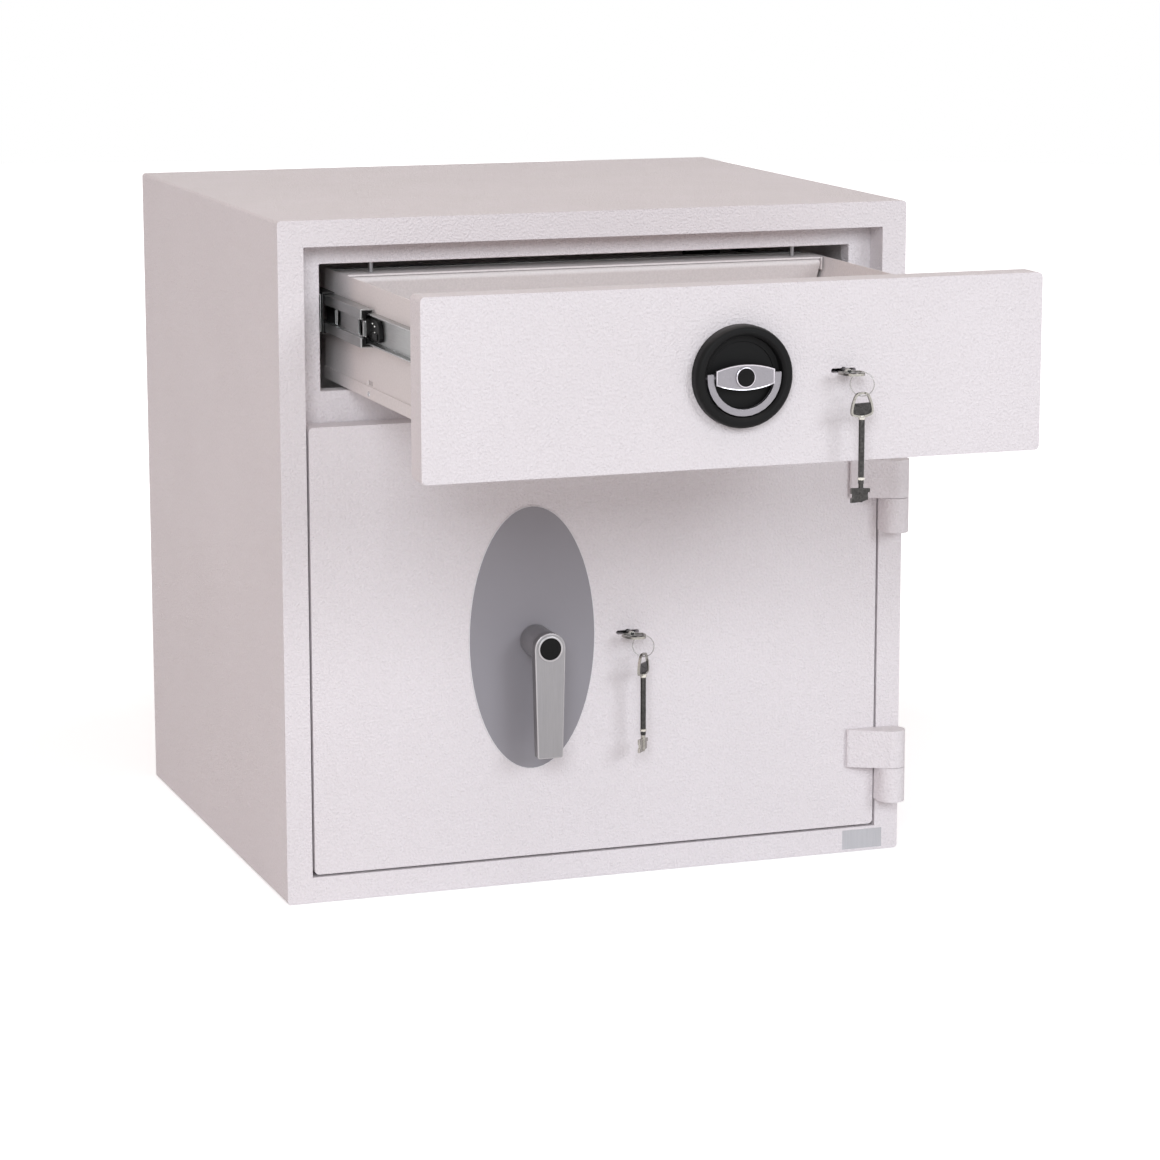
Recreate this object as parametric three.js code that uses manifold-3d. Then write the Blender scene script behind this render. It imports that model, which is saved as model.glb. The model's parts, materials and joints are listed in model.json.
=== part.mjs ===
// Drop safe with deposit drawer.
// A steel cabinet stands on the floor. The drawer takes deposits in at the front, and a hinged
// flap scrapes them off its open rear end into the compartment behind the door.
// Millimetres, +Z up, front towards -Y, origin at the centre of the underside.
// Depths are drawn from the cabinet's front face, and the drawer is drawn shut, then pulled out.
import * as THREE from 'three';
import { mergeVertices } from 'three/addons/utils/BufferGeometryUtils.js';
import Module from 'manifold-3d';

const wasm = await Module();
wasm.setup();

// Cabinet
const width = 700;
const depth = 600;
const height = 720;
const cornerRadius = 4;
const skin = 2.5;
const backThickness = 2.5;
const borderWidth = 27.5;
const rebateDepth = 33;
const frameThickness = 22;
const wall = 45;
const linerSheet = 1.5;
const sideLip = 8;
const topLip = 4;
const bottomLip = 5;
const drawerOpeningHeight = 132;
const railHeight = 51;
const anchorRadius = 7;
const anchorSpread = 150;
const anchorDepth = 420;

// Clearances
const seatGap = 0.2;
const hingeGap = 0.3;
const pinGap = 0.4;
const faceGap = 2.7;
const drawerTopGap = 6.9;
const slideGap = 0.5;
const trayGap = 3;
const flapGap = 0.8;

// Door and drawer front
const panelThickness = 32;
const panelCorner = 5;
const drawerFrontHeight = 176.7;

// Hinges
const barrelRadius = 14.7;
const noseRadius = 3;
const leafReach = 45.8;
const leafHeight = 41.8;
const knuckleHeight = 38.5;
const hingePinRadius = 5;
const hingePinReach = 30;
const lowerHingeRise = 67.7;
const upperHingeDrop = 106.6;

// Door boltwork
const panSideClear = 9;
const panEndClear = 6;
const panWall = 2;
const panDepth = 45.6;
const boltRadius = 9;
const boltPitch = 139;
const boltDepth = 67;
const boltLength = 38.8;
const boltProud = 1;
const boltThrow = 22;
const boltSocketGap = 2;
const carrierThickness = 10;
const carrierBar = 20;
const carrierOverrun = 25;
const crossBarHeight = 26;
const crossBarEnd = 66;
const crossBarDrop = 26.5;
const notchDepth = 10;
const lugWidth = 32;
const lugRise = 28;
const lugSlotTop = 22;
const lugSlotBottom = 3;
const leverPinRadius = 4;
const leverPinGap = 0.6;
const dogWidth = 14.8;
const dogDepth = 16;
const dogFront = 60;
const dogHeight = 300;

// Lever handle and oval plate
const leverX = -75;
const leverZ = 266.5;
const plateX = -78;
const plateZ = 268.7;
const plateWidth = 141;
const plateHeight = 285;
const plateThickness = 1.3;
const bossRadius = 17;
const bossLength = 37.8;
const bossEdge = 1;
const armThickness = 12;
const armLength = 118.5;
const armTipWidth = 28.3;
const armTipRadius = 2.5;
const capRadius = 13.6;
const capThickness = 0.8;
const capEdge = 0.4;
const spindleRadius = 8;
const spindleEnd = 50;
const camRadius = 18;
const camThickness = 8;
const leverPinReach = 12;

// Keys and keyholes
const keyShankRadius = 3;
const keyReach = 71;
const keyBowStart = 12;
const keyBowEnd = 36.5;
const keyBowHalf = 13;
const keyBowTipHalf = 7.2;
const keyBowShoulder = 9;
const keyBowRound = 7;
const keyBowCrown = 3;
const keyBowTipInset = 2;
const keyBowFlare = 1;
const keyShankInBow = 4;
const keyBowThickness = 2.4;
const keyBitThickness = 2.2;
const keyBitLength = 15;
const keyBitLeft = 11.7;
const keyBitRight = 10.3;
const keyBitCuts = { lead: 1.8, first: 6, second: 7, third: 10, last: 13.2, left: 2, right: 2.5 };
const keyEyeHalf = 5.2;
const keyEyeStart = 26.2;
const keyEyeEnd = 33.6;
const keyEyeCorner = 2;
const keySlotWidth = 26;
const keySlotHeight = 4.4;
const keySlotFlat = 0.02;
const ringRadius = 12;
const ringWire = 0.7;
const ringPivotX = 6.17;
const ringPivotDepth = 31.6;
const ringDrop = 9.6;
const ringTurn = -30;
const spareGap = 0.7;
const doorSpareTurn = 45;
const drawerSpareTurn = 10;

// Locks
const doorKeyX = 30.5;
const doorKeyZ = 267.4;
const drawerKeyX = 107.8;
const lockBoltWidth = 8;
const caseWall = 1.5;
const doorCaseHalf = 30.5;
const doorCaseBelow = 24.4;
const doorCaseAbove = 32.6;
const doorCaseDepth = 42;
const doorLockBoltFront = 63;
const doorLockBoltBelow = 25.8;
const doorLockBoltAbove = 13.4;
const drawerCaseHalf = 30;
const drawerCaseDepth = 43;
const drawerCaseTop = 17;
const drawerBoltFront = 43;
const drawerBoltThickness = 6;
const drawerBoltThrow = 14;
const drawerLockBoltTop = 14;
const casesAboveTray = 1.8;

// Drawer
const drawerRearClear = 50;
const drawerLeftIn = 110;
const slideSpace = 35;
const drawerSheet = 1.2;
const drawerSideHeight = 115.6;
const trayFlange = 13;
const sideSlotDepth = 338;
const sideSlotLength = 18;
const sideSlotHeight = 4.6;
const sideSlotRise = 0.7;
const tieDepth = 15;
const tieHeight = 12;
const tieDrop = 1;

// Drawer slides
const slideSheet = 1.5;
const slideRearClear = 48;
const slideDrop = 42;
const slideRatio = 0.34;
const innerSlideFront = 43;
const middleSlideFront = 56;
const outerSlideFront = 57;
const innerSlideHalf = 15.7;
const innerSlideDepth = 8.8;
const middleSlideFlange = 3.55;
const middleSlideReach = 13;
const middleWebInset = 3.7;
const middleRunner = 10.5;
const outerSlideReach = 13.3;
const bracketFront = 60;
const bracketRearClear = 55;
const bracketHalf = 20;

// Drawer pull
const pullRise = 0.8;
const bowlRadius = 50;
const bowlDepth = 15;
const bowlFloor = 3;
const bowlLip = 2;
const bowlEdge = 4;
const bowlLean = 1;
const bowlShoulder = 2.5;
const bowlSkirt = 7;
const recessRadius = 39.5;
const eyeHalfWidth = 30;
const eyeHalfHeight = 12.3;
const eyeEndHalf = 7;
const eyeThickness = 3;
const eyeLugWidth = 6;
const eyeLugHalf = 4;
const hubRadius = 11;
const bailOuter = 38;
const bailInner = 31.5;
const bailFront = 12;
const bailBack = 7;
const bailTop = 3.5;
const bailPinRadius = 2;
const bailPinEnd = 37;
const pullCapRadius = 9.2;
const pullCapThickness = 1.3;
const pullCapEdge = 0.5;
const pullSpindleRadius = 5.5;
const pullSpindleEnd = 38;
const pullCamRadius = 15;
const pullCamThickness = 4;
const pullPinRadius = 3;
const pullPinGap = 0.45;
const latchCaseHalf = 32;
const latchCaseDepth = 23;
const latchCaseTop = 18;
const latchHalf = 8;
const latchHeadLeft = 9;
const latchHeadRight = 17;
const latchTop = 15;
const latchHeadBottom = 2;

// Deposit flap and its hood
const flapSlope = 31;
const flapAxisDepth = 39;
const flapAxisDrop = 7;
const flapRodRadius = 2.5;
const flapRodProud = 1;
const flapRollInner = 2.8;
const flapRollOuter = 4;
const flapNotchTop = 30;
const flapNotchGap = 4;
const hoodDrop = 0.5;
const hoodSheet = 2;
const hoodFront = 36;
const hoodBack = 78;
const earSheet = 1.2;
const earBack = 60;
const earInset = 2.4;
const earDrop = 14;
const hoodRodInset = 29.4;
const hoodRodDepth = 49;

// How far a cut runs past the face it starts from, and a joined piece into its neighbour
const overrun = 1;

// Places that follow from the sizes above
const halfWidth = width / 2;
const rebateHalf = halfWidth - borderWidth;
const rebateTop = height - borderWidth;
const casingEnd = depth - backThickness - seatGap;
const interiorHalf = halfWidth - skin;
const interiorTop = height - skin;
const frameFront = rebateDepth + seatGap;
const frameBack = frameFront + frameThickness;
const linerFront = frameBack + seatGap;
const linerHalf = halfWidth - wall;
const linerTop = height - wall;
const linerBack = depth - wall;
const openingHalf = linerHalf - sideLip;
const drawerOpeningTop = linerTop - topLip;
const railTop = drawerOpeningTop - drawerOpeningHeight;
const railBottom = railTop - railHeight;
const doorOpeningBottom = wall + bottomLip;
const panelHalf = rebateHalf - faceGap;
const drawerFrontTop = rebateTop - drawerTopGap;
const drawerFrontBottom = drawerFrontTop - drawerFrontHeight;
const doorBottom = borderWidth + faceGap;
const doorTop = drawerFrontBottom - faceGap;
const behindPanel = panelThickness + seatGap;
const hingeX = halfWidth - barrelRadius;
const hingeY = -(barrelRadius + hingeGap);
const hingeLevels = { upper: doorTop - upperHingeDrop, lower: doorBottom + lowerHingeRise };
const panHalf = openingHalf - panSideClear;
const panBottom = doorOpeningBottom + panEndClear;
const panTop = railBottom - panEndClear;
const panBack = behindPanel + panDepth;
const boltMiddle = (panBottom + panTop) / 2;
const boltLevels = { top: boltMiddle + boltPitch, middle: boltMiddle, bottom: boltMiddle - boltPitch };
const boltTip = -(panHalf + boltProud);
const leverPinOffset = boltThrow / 2;
const keyHoleRadius = keyShankRadius + pinGap;
const pullZ = (drawerFrontTop + drawerFrontBottom) / 2 + pullRise;
const trayBottom = railTop + trayGap;
const trayTop = trayBottom + drawerSheet;
const drawerHalf = linerHalf - slideSpace;
const sideBottom = trayTop + seatGap;
const sideTop = sideBottom + drawerSideHeight;
const casesBottom = trayTop + casesAboveTray;
const slideZ = sideTop - slideDrop;
const latchPinOffset = drawerBoltThrow / 2;
const drawerEnd = linerBack - drawerRearClear;
const drawerTravel = drawerEnd - drawerLeftIn;
const slideLength = linerBack - slideRearClear - outerSlideFront;
const bracketLength = linerBack - bracketRearClear - bracketFront;
const bailPivotY = -(bailFront + bailBack) / 2;
const hoodTop = sideTop - hoodDrop;
const earOuter = drawerHalf - drawerSheet - earInset;
const hoodRodX = earOuter - hoodRodInset;
const flapAxisZ = sideTop - flapAxisDrop;
const slope = THREE.MathUtils.degToRad(flapSlope);
const flapTipZ = trayTop + flapGap;
const flapLength = (flapAxisZ - flapRollOuter * Math.sin(slope) - flapTipZ) / Math.cos(slope);

// Finishes
const paint = { color: 0xe3dcdf, roughness: 0.55, metalness: 0 };
const fillConcrete = { color: 0xb9b5ac, roughness: 0.9, metalness: 0 };
const zinc = { color: 0xb7bcc0, roughness: 0.35, metalness: 1 };
const steel = { color: 0x9a9ca0, roughness: 0.4, metalness: 1 };
const greyPlate = { color: 0x85858b, roughness: 0.5, metalness: 0.3 };
const satinMetal = { color: 0xa9abb0, roughness: 0.32, metalness: 1 };
const darkMetal = { color: 0x5a5b60, roughness: 0.45, metalness: 0.8 };
const blackPlastic = { color: 0x17171a, roughness: 0.55, metalness: 0 };
const nickel = { color: 0xb4b0aa, roughness: 0.28, metalness: 1 };

// Solids and their meshes
function solid(geometry) {
  geometry.deleteAttribute('normal');
  geometry.deleteAttribute('uv');
  const merged = mergeVertices(geometry);
  const index = merged.index.array;
  const triangles = [];
  for (let i = 0; i < index.length; i += 3) {
    const [a, b, c] = index.subarray(i, i + 3);
    if (a !== b && b !== c && c !== a) {
      triangles.push(a, b, c);
    }
  }
  return new wasm.Manifold(new wasm.Mesh({
    numProp: 3,
    vertProperties: new Float32Array(merged.attributes.position.array),
    triVerts: new Uint32Array(triangles),
  }));
}

function part(name, body, finish) {
  const { vertProperties, triVerts } = body.getMesh();
  const geometry = new THREE.BufferGeometry();
  geometry.setAttribute('position', new THREE.BufferAttribute(vertProperties, 3));
  geometry.setIndex(new THREE.BufferAttribute(triVerts, 1));
  geometry.computeVertexNormals();
  const mesh = new THREE.Mesh(geometry, new THREE.MeshStandardMaterial(finish));
  mesh.name = name;
  return mesh;
}

function group(x, y, z, ...members) {
  const held = new THREE.Group();
  held.position.set(x, y, z);
  held.add(...members);
  return held;
}

// Basic forms
function ordered(a, b) {
  return a < b ? [a, b] : [b, a];
}

function block(x0, x1, y0, y1, z0, z1) {
  const box = new THREE.BoxGeometry(x1 - x0, y1 - y0, z1 - z0);
  return solid(box.translate((x0 + x1) / 2, (y0 + y1) / 2, (z0 + z1) / 2));
}

function extruded(shape, length, basis, origin) {
  const geometry = new THREE.ExtrudeGeometry(shape, { depth: length, bevelEnabled: false, curveSegments: 8 });
  const matrix = new THREE.Matrix4().makeBasis(...basis).setPosition(origin);
  return solid(geometry.applyMatrix4(matrix));
}

const axisX = new THREE.Vector3(1, 0, 0);
const axisY = new THREE.Vector3(0, 1, 0);
const axisZ = new THREE.Vector3(0, 0, 1);

// An outline in x and z, as seen from the front, between two depths
function slab(shape, y0, y1) {
  const forward = axisY.clone().negate();
  return extruded(shape, y1 - y0, [axisX, axisZ, forward], new THREE.Vector3(0, y1, 0));
}

// An outline in x and y, as seen from above, between two heights
function plan(shape, z0, z1) {
  return extruded(shape, z1 - z0, [axisX, axisY, axisZ], new THREE.Vector3(0, 0, z0));
}

function rodY(x, z, radius, y0, y1, sides = 32) {
  const rod = new THREE.CylinderGeometry(radius, radius, y1 - y0, sides);
  return solid(rod.translate(x, (y0 + y1) / 2, z));
}

function rodX(y, z, radius, x0, x1, sides = 24) {
  const rod = new THREE.CylinderGeometry(radius, radius, x1 - x0, sides).rotateZ(Math.PI / 2);
  return solid(rod.translate((x0 + x1) / 2, y, z));
}

function rodZ(x, y, radius, z0, z1, sides = 24) {
  const rod = new THREE.CylinderGeometry(radius, radius, z1 - z0, sides).rotateX(Math.PI / 2);
  return solid(rod.translate(x, y, (z0 + z1) / 2));
}

// A profile of radius and depth, turned about a line along y
function turned(points, x, z, sides = 48) {
  const profile = points.map(([radius, y]) => new THREE.Vector2(radius, y));
  return solid(new THREE.LatheGeometry(profile, sides).translate(x, 0, z));
}

function polygon(points) {
  return new THREE.Shape(points.map(([x, y]) => new THREE.Vector2(x, y)));
}

function roundedRect(x0, x1, z0, z1, radius) {
  const shape = new THREE.Shape();
  shape.absarc(x1 - radius, z1 - radius, radius, 0, Math.PI / 2);
  shape.absarc(x0 + radius, z1 - radius, radius, Math.PI / 2, Math.PI);
  shape.absarc(x0 + radius, z0 + radius, radius, Math.PI, 1.5 * Math.PI);
  shape.absarc(x1 - radius, z0 + radius, radius, 1.5 * Math.PI, 2 * Math.PI);
  shape.closePath();
  return shape;
}

// Cabinet shell
function anchorHoles() {
  const holes = [-anchorSpread, anchorSpread]
    .map((x) => rodZ(x, anchorDepth, anchorRadius, -overrun, wall + overrun));
  return holes[0].add(holes[1]);
}

function outerCasing() {
  const outside = roundedRect(-halfWidth, halfWidth, 0, height, cornerRadius);
  const casing = slab(outside, 0, casingEnd);
  const interior = block(-interiorHalf, interiorHalf, rebateDepth, depth, skin, interiorTop);
  const rebate = block(-rebateHalf, rebateHalf, -overrun, rebateDepth + overrun, borderWidth, rebateTop);
  return casing.subtract(interior).subtract(rebate).subtract(anchorHoles());
}

function backPlate() {
  const outside = roundedRect(-halfWidth, halfWidth, 0, height, cornerRadius);
  return slab(outside, depth - backThickness, depth);
}

function boltSockets(radius, end) {
  const sockets = Object.values(boltLevels).map((z) => rodX(boltDepth, z, radius, -end, -linerHalf + overrun));
  return sockets[0].add(sockets[1]).add(sockets[2]);
}

function innerSpace(half, y0, y1, z0, z1) {
  return block(-half, half, y0, y1, z0, z1);
}

function barrierFill() {
  const half = interiorHalf - seatGap;
  const fill = innerSpace(half, linerFront, casingEnd, skin + seatGap, interiorTop - seatGap);
  const shell = linerSheet + seatGap;
  const hollow = innerSpace(
    linerHalf + shell, linerFront - overrun, linerBack + shell, wall - shell, linerTop + shell);
  const socketEnd = -(boltTip - boltThrow) + boltSocketGap + overrun;
  const sockets = boltSockets(boltRadius + boltSocketGap, socketEnd);
  return fill.subtract(hollow).subtract(sockets).subtract(anchorHoles());
}

function innerLiner() {
  const half = linerHalf + linerSheet;
  const back = linerBack + linerSheet;
  const outside = innerSpace(half, linerFront, back, wall - linerSheet, linerTop + linerSheet);
  const inside = innerSpace(linerHalf, linerFront - overrun, linerBack, wall, linerTop);
  const sockets = boltSockets(boltRadius + boltSocketGap, half + overrun);
  return outside.subtract(inside).subtract(sockets).subtract(anchorHoles());
}

// Pocket in the rail's top that one of the drawer's bolts drops into
function railPocket(x0, x1) {
  const y0 = drawerBoltFront - leverPinGap;
  const y1 = drawerBoltFront + drawerBoltThickness + leverPinGap;
  const z0 = trayTop + seatGap - drawerBoltThrow - boltSocketGap;
  return block(x0 - leverPinGap, x1 + leverPinGap, y0, y1, z0, railTop + overrun);
}

function innerFrame() {
  const half = interiorHalf - seatGap;
  const plate = block(-half, half, frameFront, frameBack, skin + seatGap, interiorTop - seatGap);
  const y0 = frameFront - overrun;
  const y1 = frameBack + overrun;
  const drawerOpening = block(-openingHalf, openingHalf, y0, y1, railTop, drawerOpeningTop);
  const doorOpening = block(-openingHalf, openingHalf, y0, y1, doorOpeningBottom, railBottom);
  const lockPocket = railPocket(drawerKeyX - lockBoltWidth / 2, drawerKeyX + lockBoltWidth / 2);
  const latchPocket = railPocket(-latchHalf, latchHalf);
  return plate.subtract(drawerOpening).subtract(doorOpening).subtract(lockPocket).subtract(latchPocket);
}

// Hinges
function hingeKnuckle(level) {
  const shape = new THREE.Shape();
  shape.absarc(hingeX, hingeY, barrelRadius, Math.PI, 2 * Math.PI);
  shape.lineTo(hingeX + barrelRadius, -hingeGap);
  shape.lineTo(hingeX - barrelRadius, -hingeGap);
  shape.closePath();
  const top = level - seatGap;
  const bore = rodZ(hingeX, hingeY, hingePinRadius + seatGap, level - hingePinReach - seatGap, level + overrun);
  return plan(shape, top - knuckleHeight, top).subtract(bore);
}

function hingeLeaf(level) {
  const tilt = Math.atan2(barrelRadius - noseRadius, leafReach);
  const tangent = 1.5 * Math.PI - 2 * tilt;
  const shape = new THREE.Shape();
  shape.absarc(hingeX - leafReach, -hingeGap - noseRadius, noseRadius, Math.PI / 2, tangent);
  shape.absarc(hingeX, hingeY, barrelRadius, tangent, 2.5 * Math.PI);
  shape.closePath();
  const bottom = level + seatGap;
  const bore = rodZ(hingeX, hingeY, hingePinRadius + pinGap, level - overrun, level + hingePinReach + seatGap);
  return plan(shape, bottom, bottom + leafHeight).subtract(bore);
}

function hingePin(level) {
  return rodZ(hingeX, hingeY, hingePinRadius, level - hingePinReach, level + hingePinReach);
}

// Keyhole through a panel, a slot with a round hole in its middle
function keyhole(x, z) {
  const half = keySlotWidth / 2;
  const round = keySlotHeight / 2;
  const outline = roundedRect(x - half, x + half, z - round, z + round, round - keySlotFlat);
  const slot = slab(outline, -overrun, panelThickness + overrun);
  return slot.add(rodY(x, z, keyHoleRadius, -overrun, panelThickness + overrun));
}

// Door
function doorPanel() {
  const panel = slab(roundedRect(-panelHalf, panelHalf, doorBottom, doorTop, panelCorner), 0, panelThickness);
  const spindleHole = rodY(leverX, leverZ, spindleRadius + pinGap, -overrun, panelThickness + overrun);
  return panel.subtract(spindleHole).subtract(keyhole(doorKeyX, doorKeyZ));
}

function boltPan() {
  const pan = block(-panHalf, panHalf, behindPanel, panBack, panBottom, panTop);
  const half = panHalf - panWall;
  const inside = block(
    -half, half, behindPanel - overrun, panBack + overrun, panBottom + panWall, panTop - panWall);
  const holes = Object.values(boltLevels)
    .map((z) => rodX(boltDepth, z, boltRadius + pinGap, -panHalf - overrun, -half + overrun, 32));
  return holes.reduce((left, hole) => left.subtract(hole), pan.subtract(inside));
}

function panCover() {
  const front = panBack + seatGap;
  return block(-panHalf, panHalf, front, front + panWall, panBottom, panTop);
}

function dogBar() {
  const left = panHalf + seatGap;
  const z0 = boltMiddle - dogHeight / 2;
  return block(left, left + dogWidth, dogFront, dogFront + dogDepth, z0, z0 + dogHeight);
}

function ovalPlate() {
  const shape = new THREE.Shape();
  shape.absellipse(plateX, plateZ, plateWidth / 2, plateHeight / 2, 0, 2 * Math.PI);
  const sheet = { depth: plateThickness, bevelEnabled: false, curveSegments: 36 };
  const geometry = new THREE.ExtrudeGeometry(shape, sheet);
  const matrix = new THREE.Matrix4().makeBasis(axisX, axisZ, axisY.clone().negate());
  const plate = solid(geometry.applyMatrix4(matrix.setPosition(0, -seatGap, 0)));
  const end = -seatGap - plateThickness;
  return plate.subtract(rodY(leverX, leverZ, spindleRadius + pinGap, end - overrun, 0));
}

// Lever
function leverBoss() {
  const back = -(seatGap + plateThickness + pinGap);
  const front = back - bossLength;
  const chamfer = [[bossRadius - bossEdge, front], [bossRadius, front + bossEdge]];
  return turned([[0, front], ...chamfer, [bossRadius, back], [0, back]], leverX, leverZ);
}

function leverFront() {
  return -(seatGap + plateThickness + pinGap + bossLength + seatGap);
}

function leverArm() {
  const half = armTipWidth / 2;
  const bottom = -armLength;
  const lean = Math.atan2(bossRadius - half, armLength);
  const shape = new THREE.Shape();
  shape.absarc(0, 0, bossRadius, -lean, Math.PI + lean);
  shape.absarc(-half + armTipRadius, bottom + armTipRadius, armTipRadius, Math.PI, 1.5 * Math.PI);
  shape.absarc(half - armTipRadius, bottom + armTipRadius, armTipRadius, 1.5 * Math.PI, 2 * Math.PI);
  shape.closePath();
  const back = leverFront();
  return slab(shape, back - armThickness, back);
}

function leverCap() {
  const back = leverFront() - armThickness - seatGap;
  const front = back - capThickness;
  const chamfer = [[capRadius - capEdge, front], [capRadius, front + capEdge]];
  return turned([[0, front], ...chamfer, [capRadius, back], [0, back]], 0, 0);
}

function leverSpindle() {
  const front = -(seatGap + plateThickness + pinGap) + seatGap;
  const shaft = rodY(leverX, leverZ, spindleRadius, front, spindleEnd + overrun);
  const cam = rodY(leverX, leverZ, camRadius, spindleEnd, spindleEnd + camThickness);
  const pinX = leverX + leverPinOffset;
  const pinZ = leverZ - leverPinOffset;
  const pinStart = spindleEnd + camThickness;
  const pin = rodY(pinX, pinZ, leverPinRadius, pinStart - overrun, pinStart + leverPinReach, 24);
  return shaft.add(cam).add(pin);
}

// Boltwork behind the door
function liveBolt(z) {
  return rodX(boltDepth, z, boltRadius, boltTip, boltTip + boltLength, 32);
}

function boltCarrier() {
  const front = boltDepth - carrierThickness / 2;
  const back = front + carrierThickness;
  const left = boltTip + boltLength + seatGap;
  const right = left + carrierBar;
  const reach = boltPitch + carrierOverrun;
  const top = leverZ - crossBarDrop;
  const upright = block(left, right, front, back, boltMiddle - reach, boltMiddle + reach);
  const crossBar = block(right - overrun, crossBarEnd, front, back, top - crossBarHeight, top);
  const pinX = leverX + leverPinOffset;
  const slotHalf = leverPinRadius + leverPinGap;
  const lug = block(pinX - lugWidth / 2, pinX + lugWidth / 2, front, back, top - overrun, top + lugRise);
  const [y0, y1] = [front - overrun, back + overrun];
  const slot = block(pinX - slotHalf, pinX + slotHalf, y0, y1, top + lugSlotBottom, top + lugSlotTop);
  const notchHalf = lockBoltWidth / 2 + pinGap;
  const notches = [doorKeyX, doorKeyX + boltThrow]
    .map((x) => block(x - notchHalf, x + notchHalf, y0, y1, top - notchDepth, top + overrun));
  return upright.add(crossBar).add(lug).subtract(slot).subtract(notches[0]).subtract(notches[1]);
}

function doorLockCase() {
  const left = doorKeyX - doorCaseHalf;
  const right = doorKeyX + doorCaseHalf;
  const bottom = doorKeyZ - doorCaseBelow;
  const top = doorKeyZ + doorCaseAbove;
  const back = behindPanel + doorCaseDepth;
  const cover = block(left, right, behindPanel, back, bottom, top);
  const inside = block(
    left + caseWall, right - caseWall, behindPanel - overrun, back - caseWall,
    bottom + caseWall, top - caseWall);
  const slotHalf = lockBoltWidth / 2 + pinGap;
  const slotBack = doorLockBoltFront + lockBoltWidth + pinGap;
  const [z0, z1] = [bottom - overrun, bottom + caseWall + overrun];
  const slot = block(doorKeyX - slotHalf, doorKeyX + slotHalf, doorLockBoltFront - pinGap, slotBack, z0, z1);
  return cover.subtract(inside).subtract(slot);
}

function doorLockBolt() {
  const half = lockBoltWidth / 2;
  const back = doorLockBoltFront + lockBoltWidth;
  const z0 = doorKeyZ - doorLockBoltBelow;
  return block(doorKeyX - half, doorKeyX + half, doorLockBoltFront, back, z0, doorKeyZ - doorLockBoltAbove);
}

// Key along y with its bow flat, drawn from the middle of the keyhole
function keyBow() {
  const shoulder = keyBowStart + keyBowShoulder;
  const side = keyBowHalf - keyBowFlare;
  const tip = keyBowTipHalf - keyBowTipInset;
  const root = -keyBowStart - keyBowFlare;
  const shape = new THREE.Shape();
  shape.moveTo(-keyShankRadius, -keyBowStart);
  shape.quadraticCurveTo(-keyBowHalf, root, -keyBowHalf, -shoulder);
  shape.quadraticCurveTo(-side, keyBowRound - keyBowEnd, -keyBowTipHalf, keyBowCrown - keyBowEnd);
  shape.quadraticCurveTo(-tip, -keyBowEnd, 0, -keyBowEnd);
  shape.quadraticCurveTo(tip, -keyBowEnd, keyBowTipHalf, keyBowCrown - keyBowEnd);
  shape.quadraticCurveTo(side, keyBowRound - keyBowEnd, keyBowHalf, -shoulder);
  shape.quadraticCurveTo(keyBowHalf, root, keyShankRadius, -keyBowStart);
  shape.closePath();
  const half = keyBowThickness / 2;
  const eye = roundedRect(-keyEyeHalf, keyEyeHalf, -keyEyeEnd, -keyEyeStart, keyEyeCorner);
  return plan(shape, -half, half).subtract(plan(eye, -half - overrun, half + overrun));
}

function keyBits() {
  const start = keyReach - keyBitLength;
  const { lead, first, second, third, last } = keyBitCuts;
  const left = keyBitCuts.left - keyBitLeft;
  const right = keyBitRight - keyBitCuts.right;
  const shape = polygon([
    [-keyBitLeft, start], [keyBitRight, start + lead], [keyBitRight, start + second], [right, start + second],
    [right, start + last], [0, keyReach], [-keyBitLeft, keyReach], [-keyBitLeft, start + third],
    [left, start + third], [left, start + first], [-keyBitLeft, start + first],
  ]);
  return plan(shape, -keyBitThickness / 2, keyBitThickness / 2);
}

function key() {
  return rodY(0, 0, keyShankRadius, -keyBowStart - keyShankInBow, keyReach, 16).add(keyBow()).add(keyBits());
}

function keyRing() {
  const torus = new THREE.TorusGeometry(ringRadius, ringWire, 8, 36);
  torus.rotateX(Math.PI / 2).rotateZ(THREE.MathUtils.degToRad(ringTurn));
  return solid(torus.translate(0, 0, -ringDrop));
}

// Key in its lock, with the split ring and the spare key that hang from its bow
function keySet(prefix, x, z, spareTurn) {
  const spare = part(`${prefix}_spare_key`, key(), nickel);
  const eyeTop = ringDrop + ringRadius - ringWire - spareGap;
  spare.rotation.x = -Math.PI / 2;
  spare.position.z = -(eyeTop + keyEyeEnd);
  const hanging = group(0, 0, 0, spare);
  hanging.rotation.z = THREE.MathUtils.degToRad(spareTurn);
  const ring = part(`${prefix}_key_ring`, keyRing(), steel);
  const onRing = group(ringPivotX, -ringPivotDepth, 0, ring, hanging);
  return group(x, 0, z, part(`${prefix}_key`, key(), nickel), onRing);
}

// Drawer
function drawerFront() {
  const outline = roundedRect(-panelHalf, panelHalf, drawerFrontBottom, drawerFrontTop, panelCorner);
  const spindleHole = rodY(0, pullZ, pullSpindleRadius + pinGap, -overrun, panelThickness + overrun);
  return slab(outline, 0, panelThickness).subtract(spindleHole).subtract(keyhole(drawerKeyX, pullZ));
}

// Side with a slot just above the tray's flange
function drawerSide(sign) {
  const [x0, x1] = ordered(sign * (drawerHalf - drawerSheet), sign * drawerHalf);
  const side = block(x0, x1, behindPanel, drawerEnd, sideBottom, sideTop);
  const z0 = trayBottom + trayFlange + sideSlotRise;
  const y0 = sideSlotDepth - sideSlotLength / 2;
  return side.subtract(
    block(x0 - overrun, x1 + overrun, y0, y0 + sideSlotLength, z0, z0 + sideSlotHeight));
}

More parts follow.
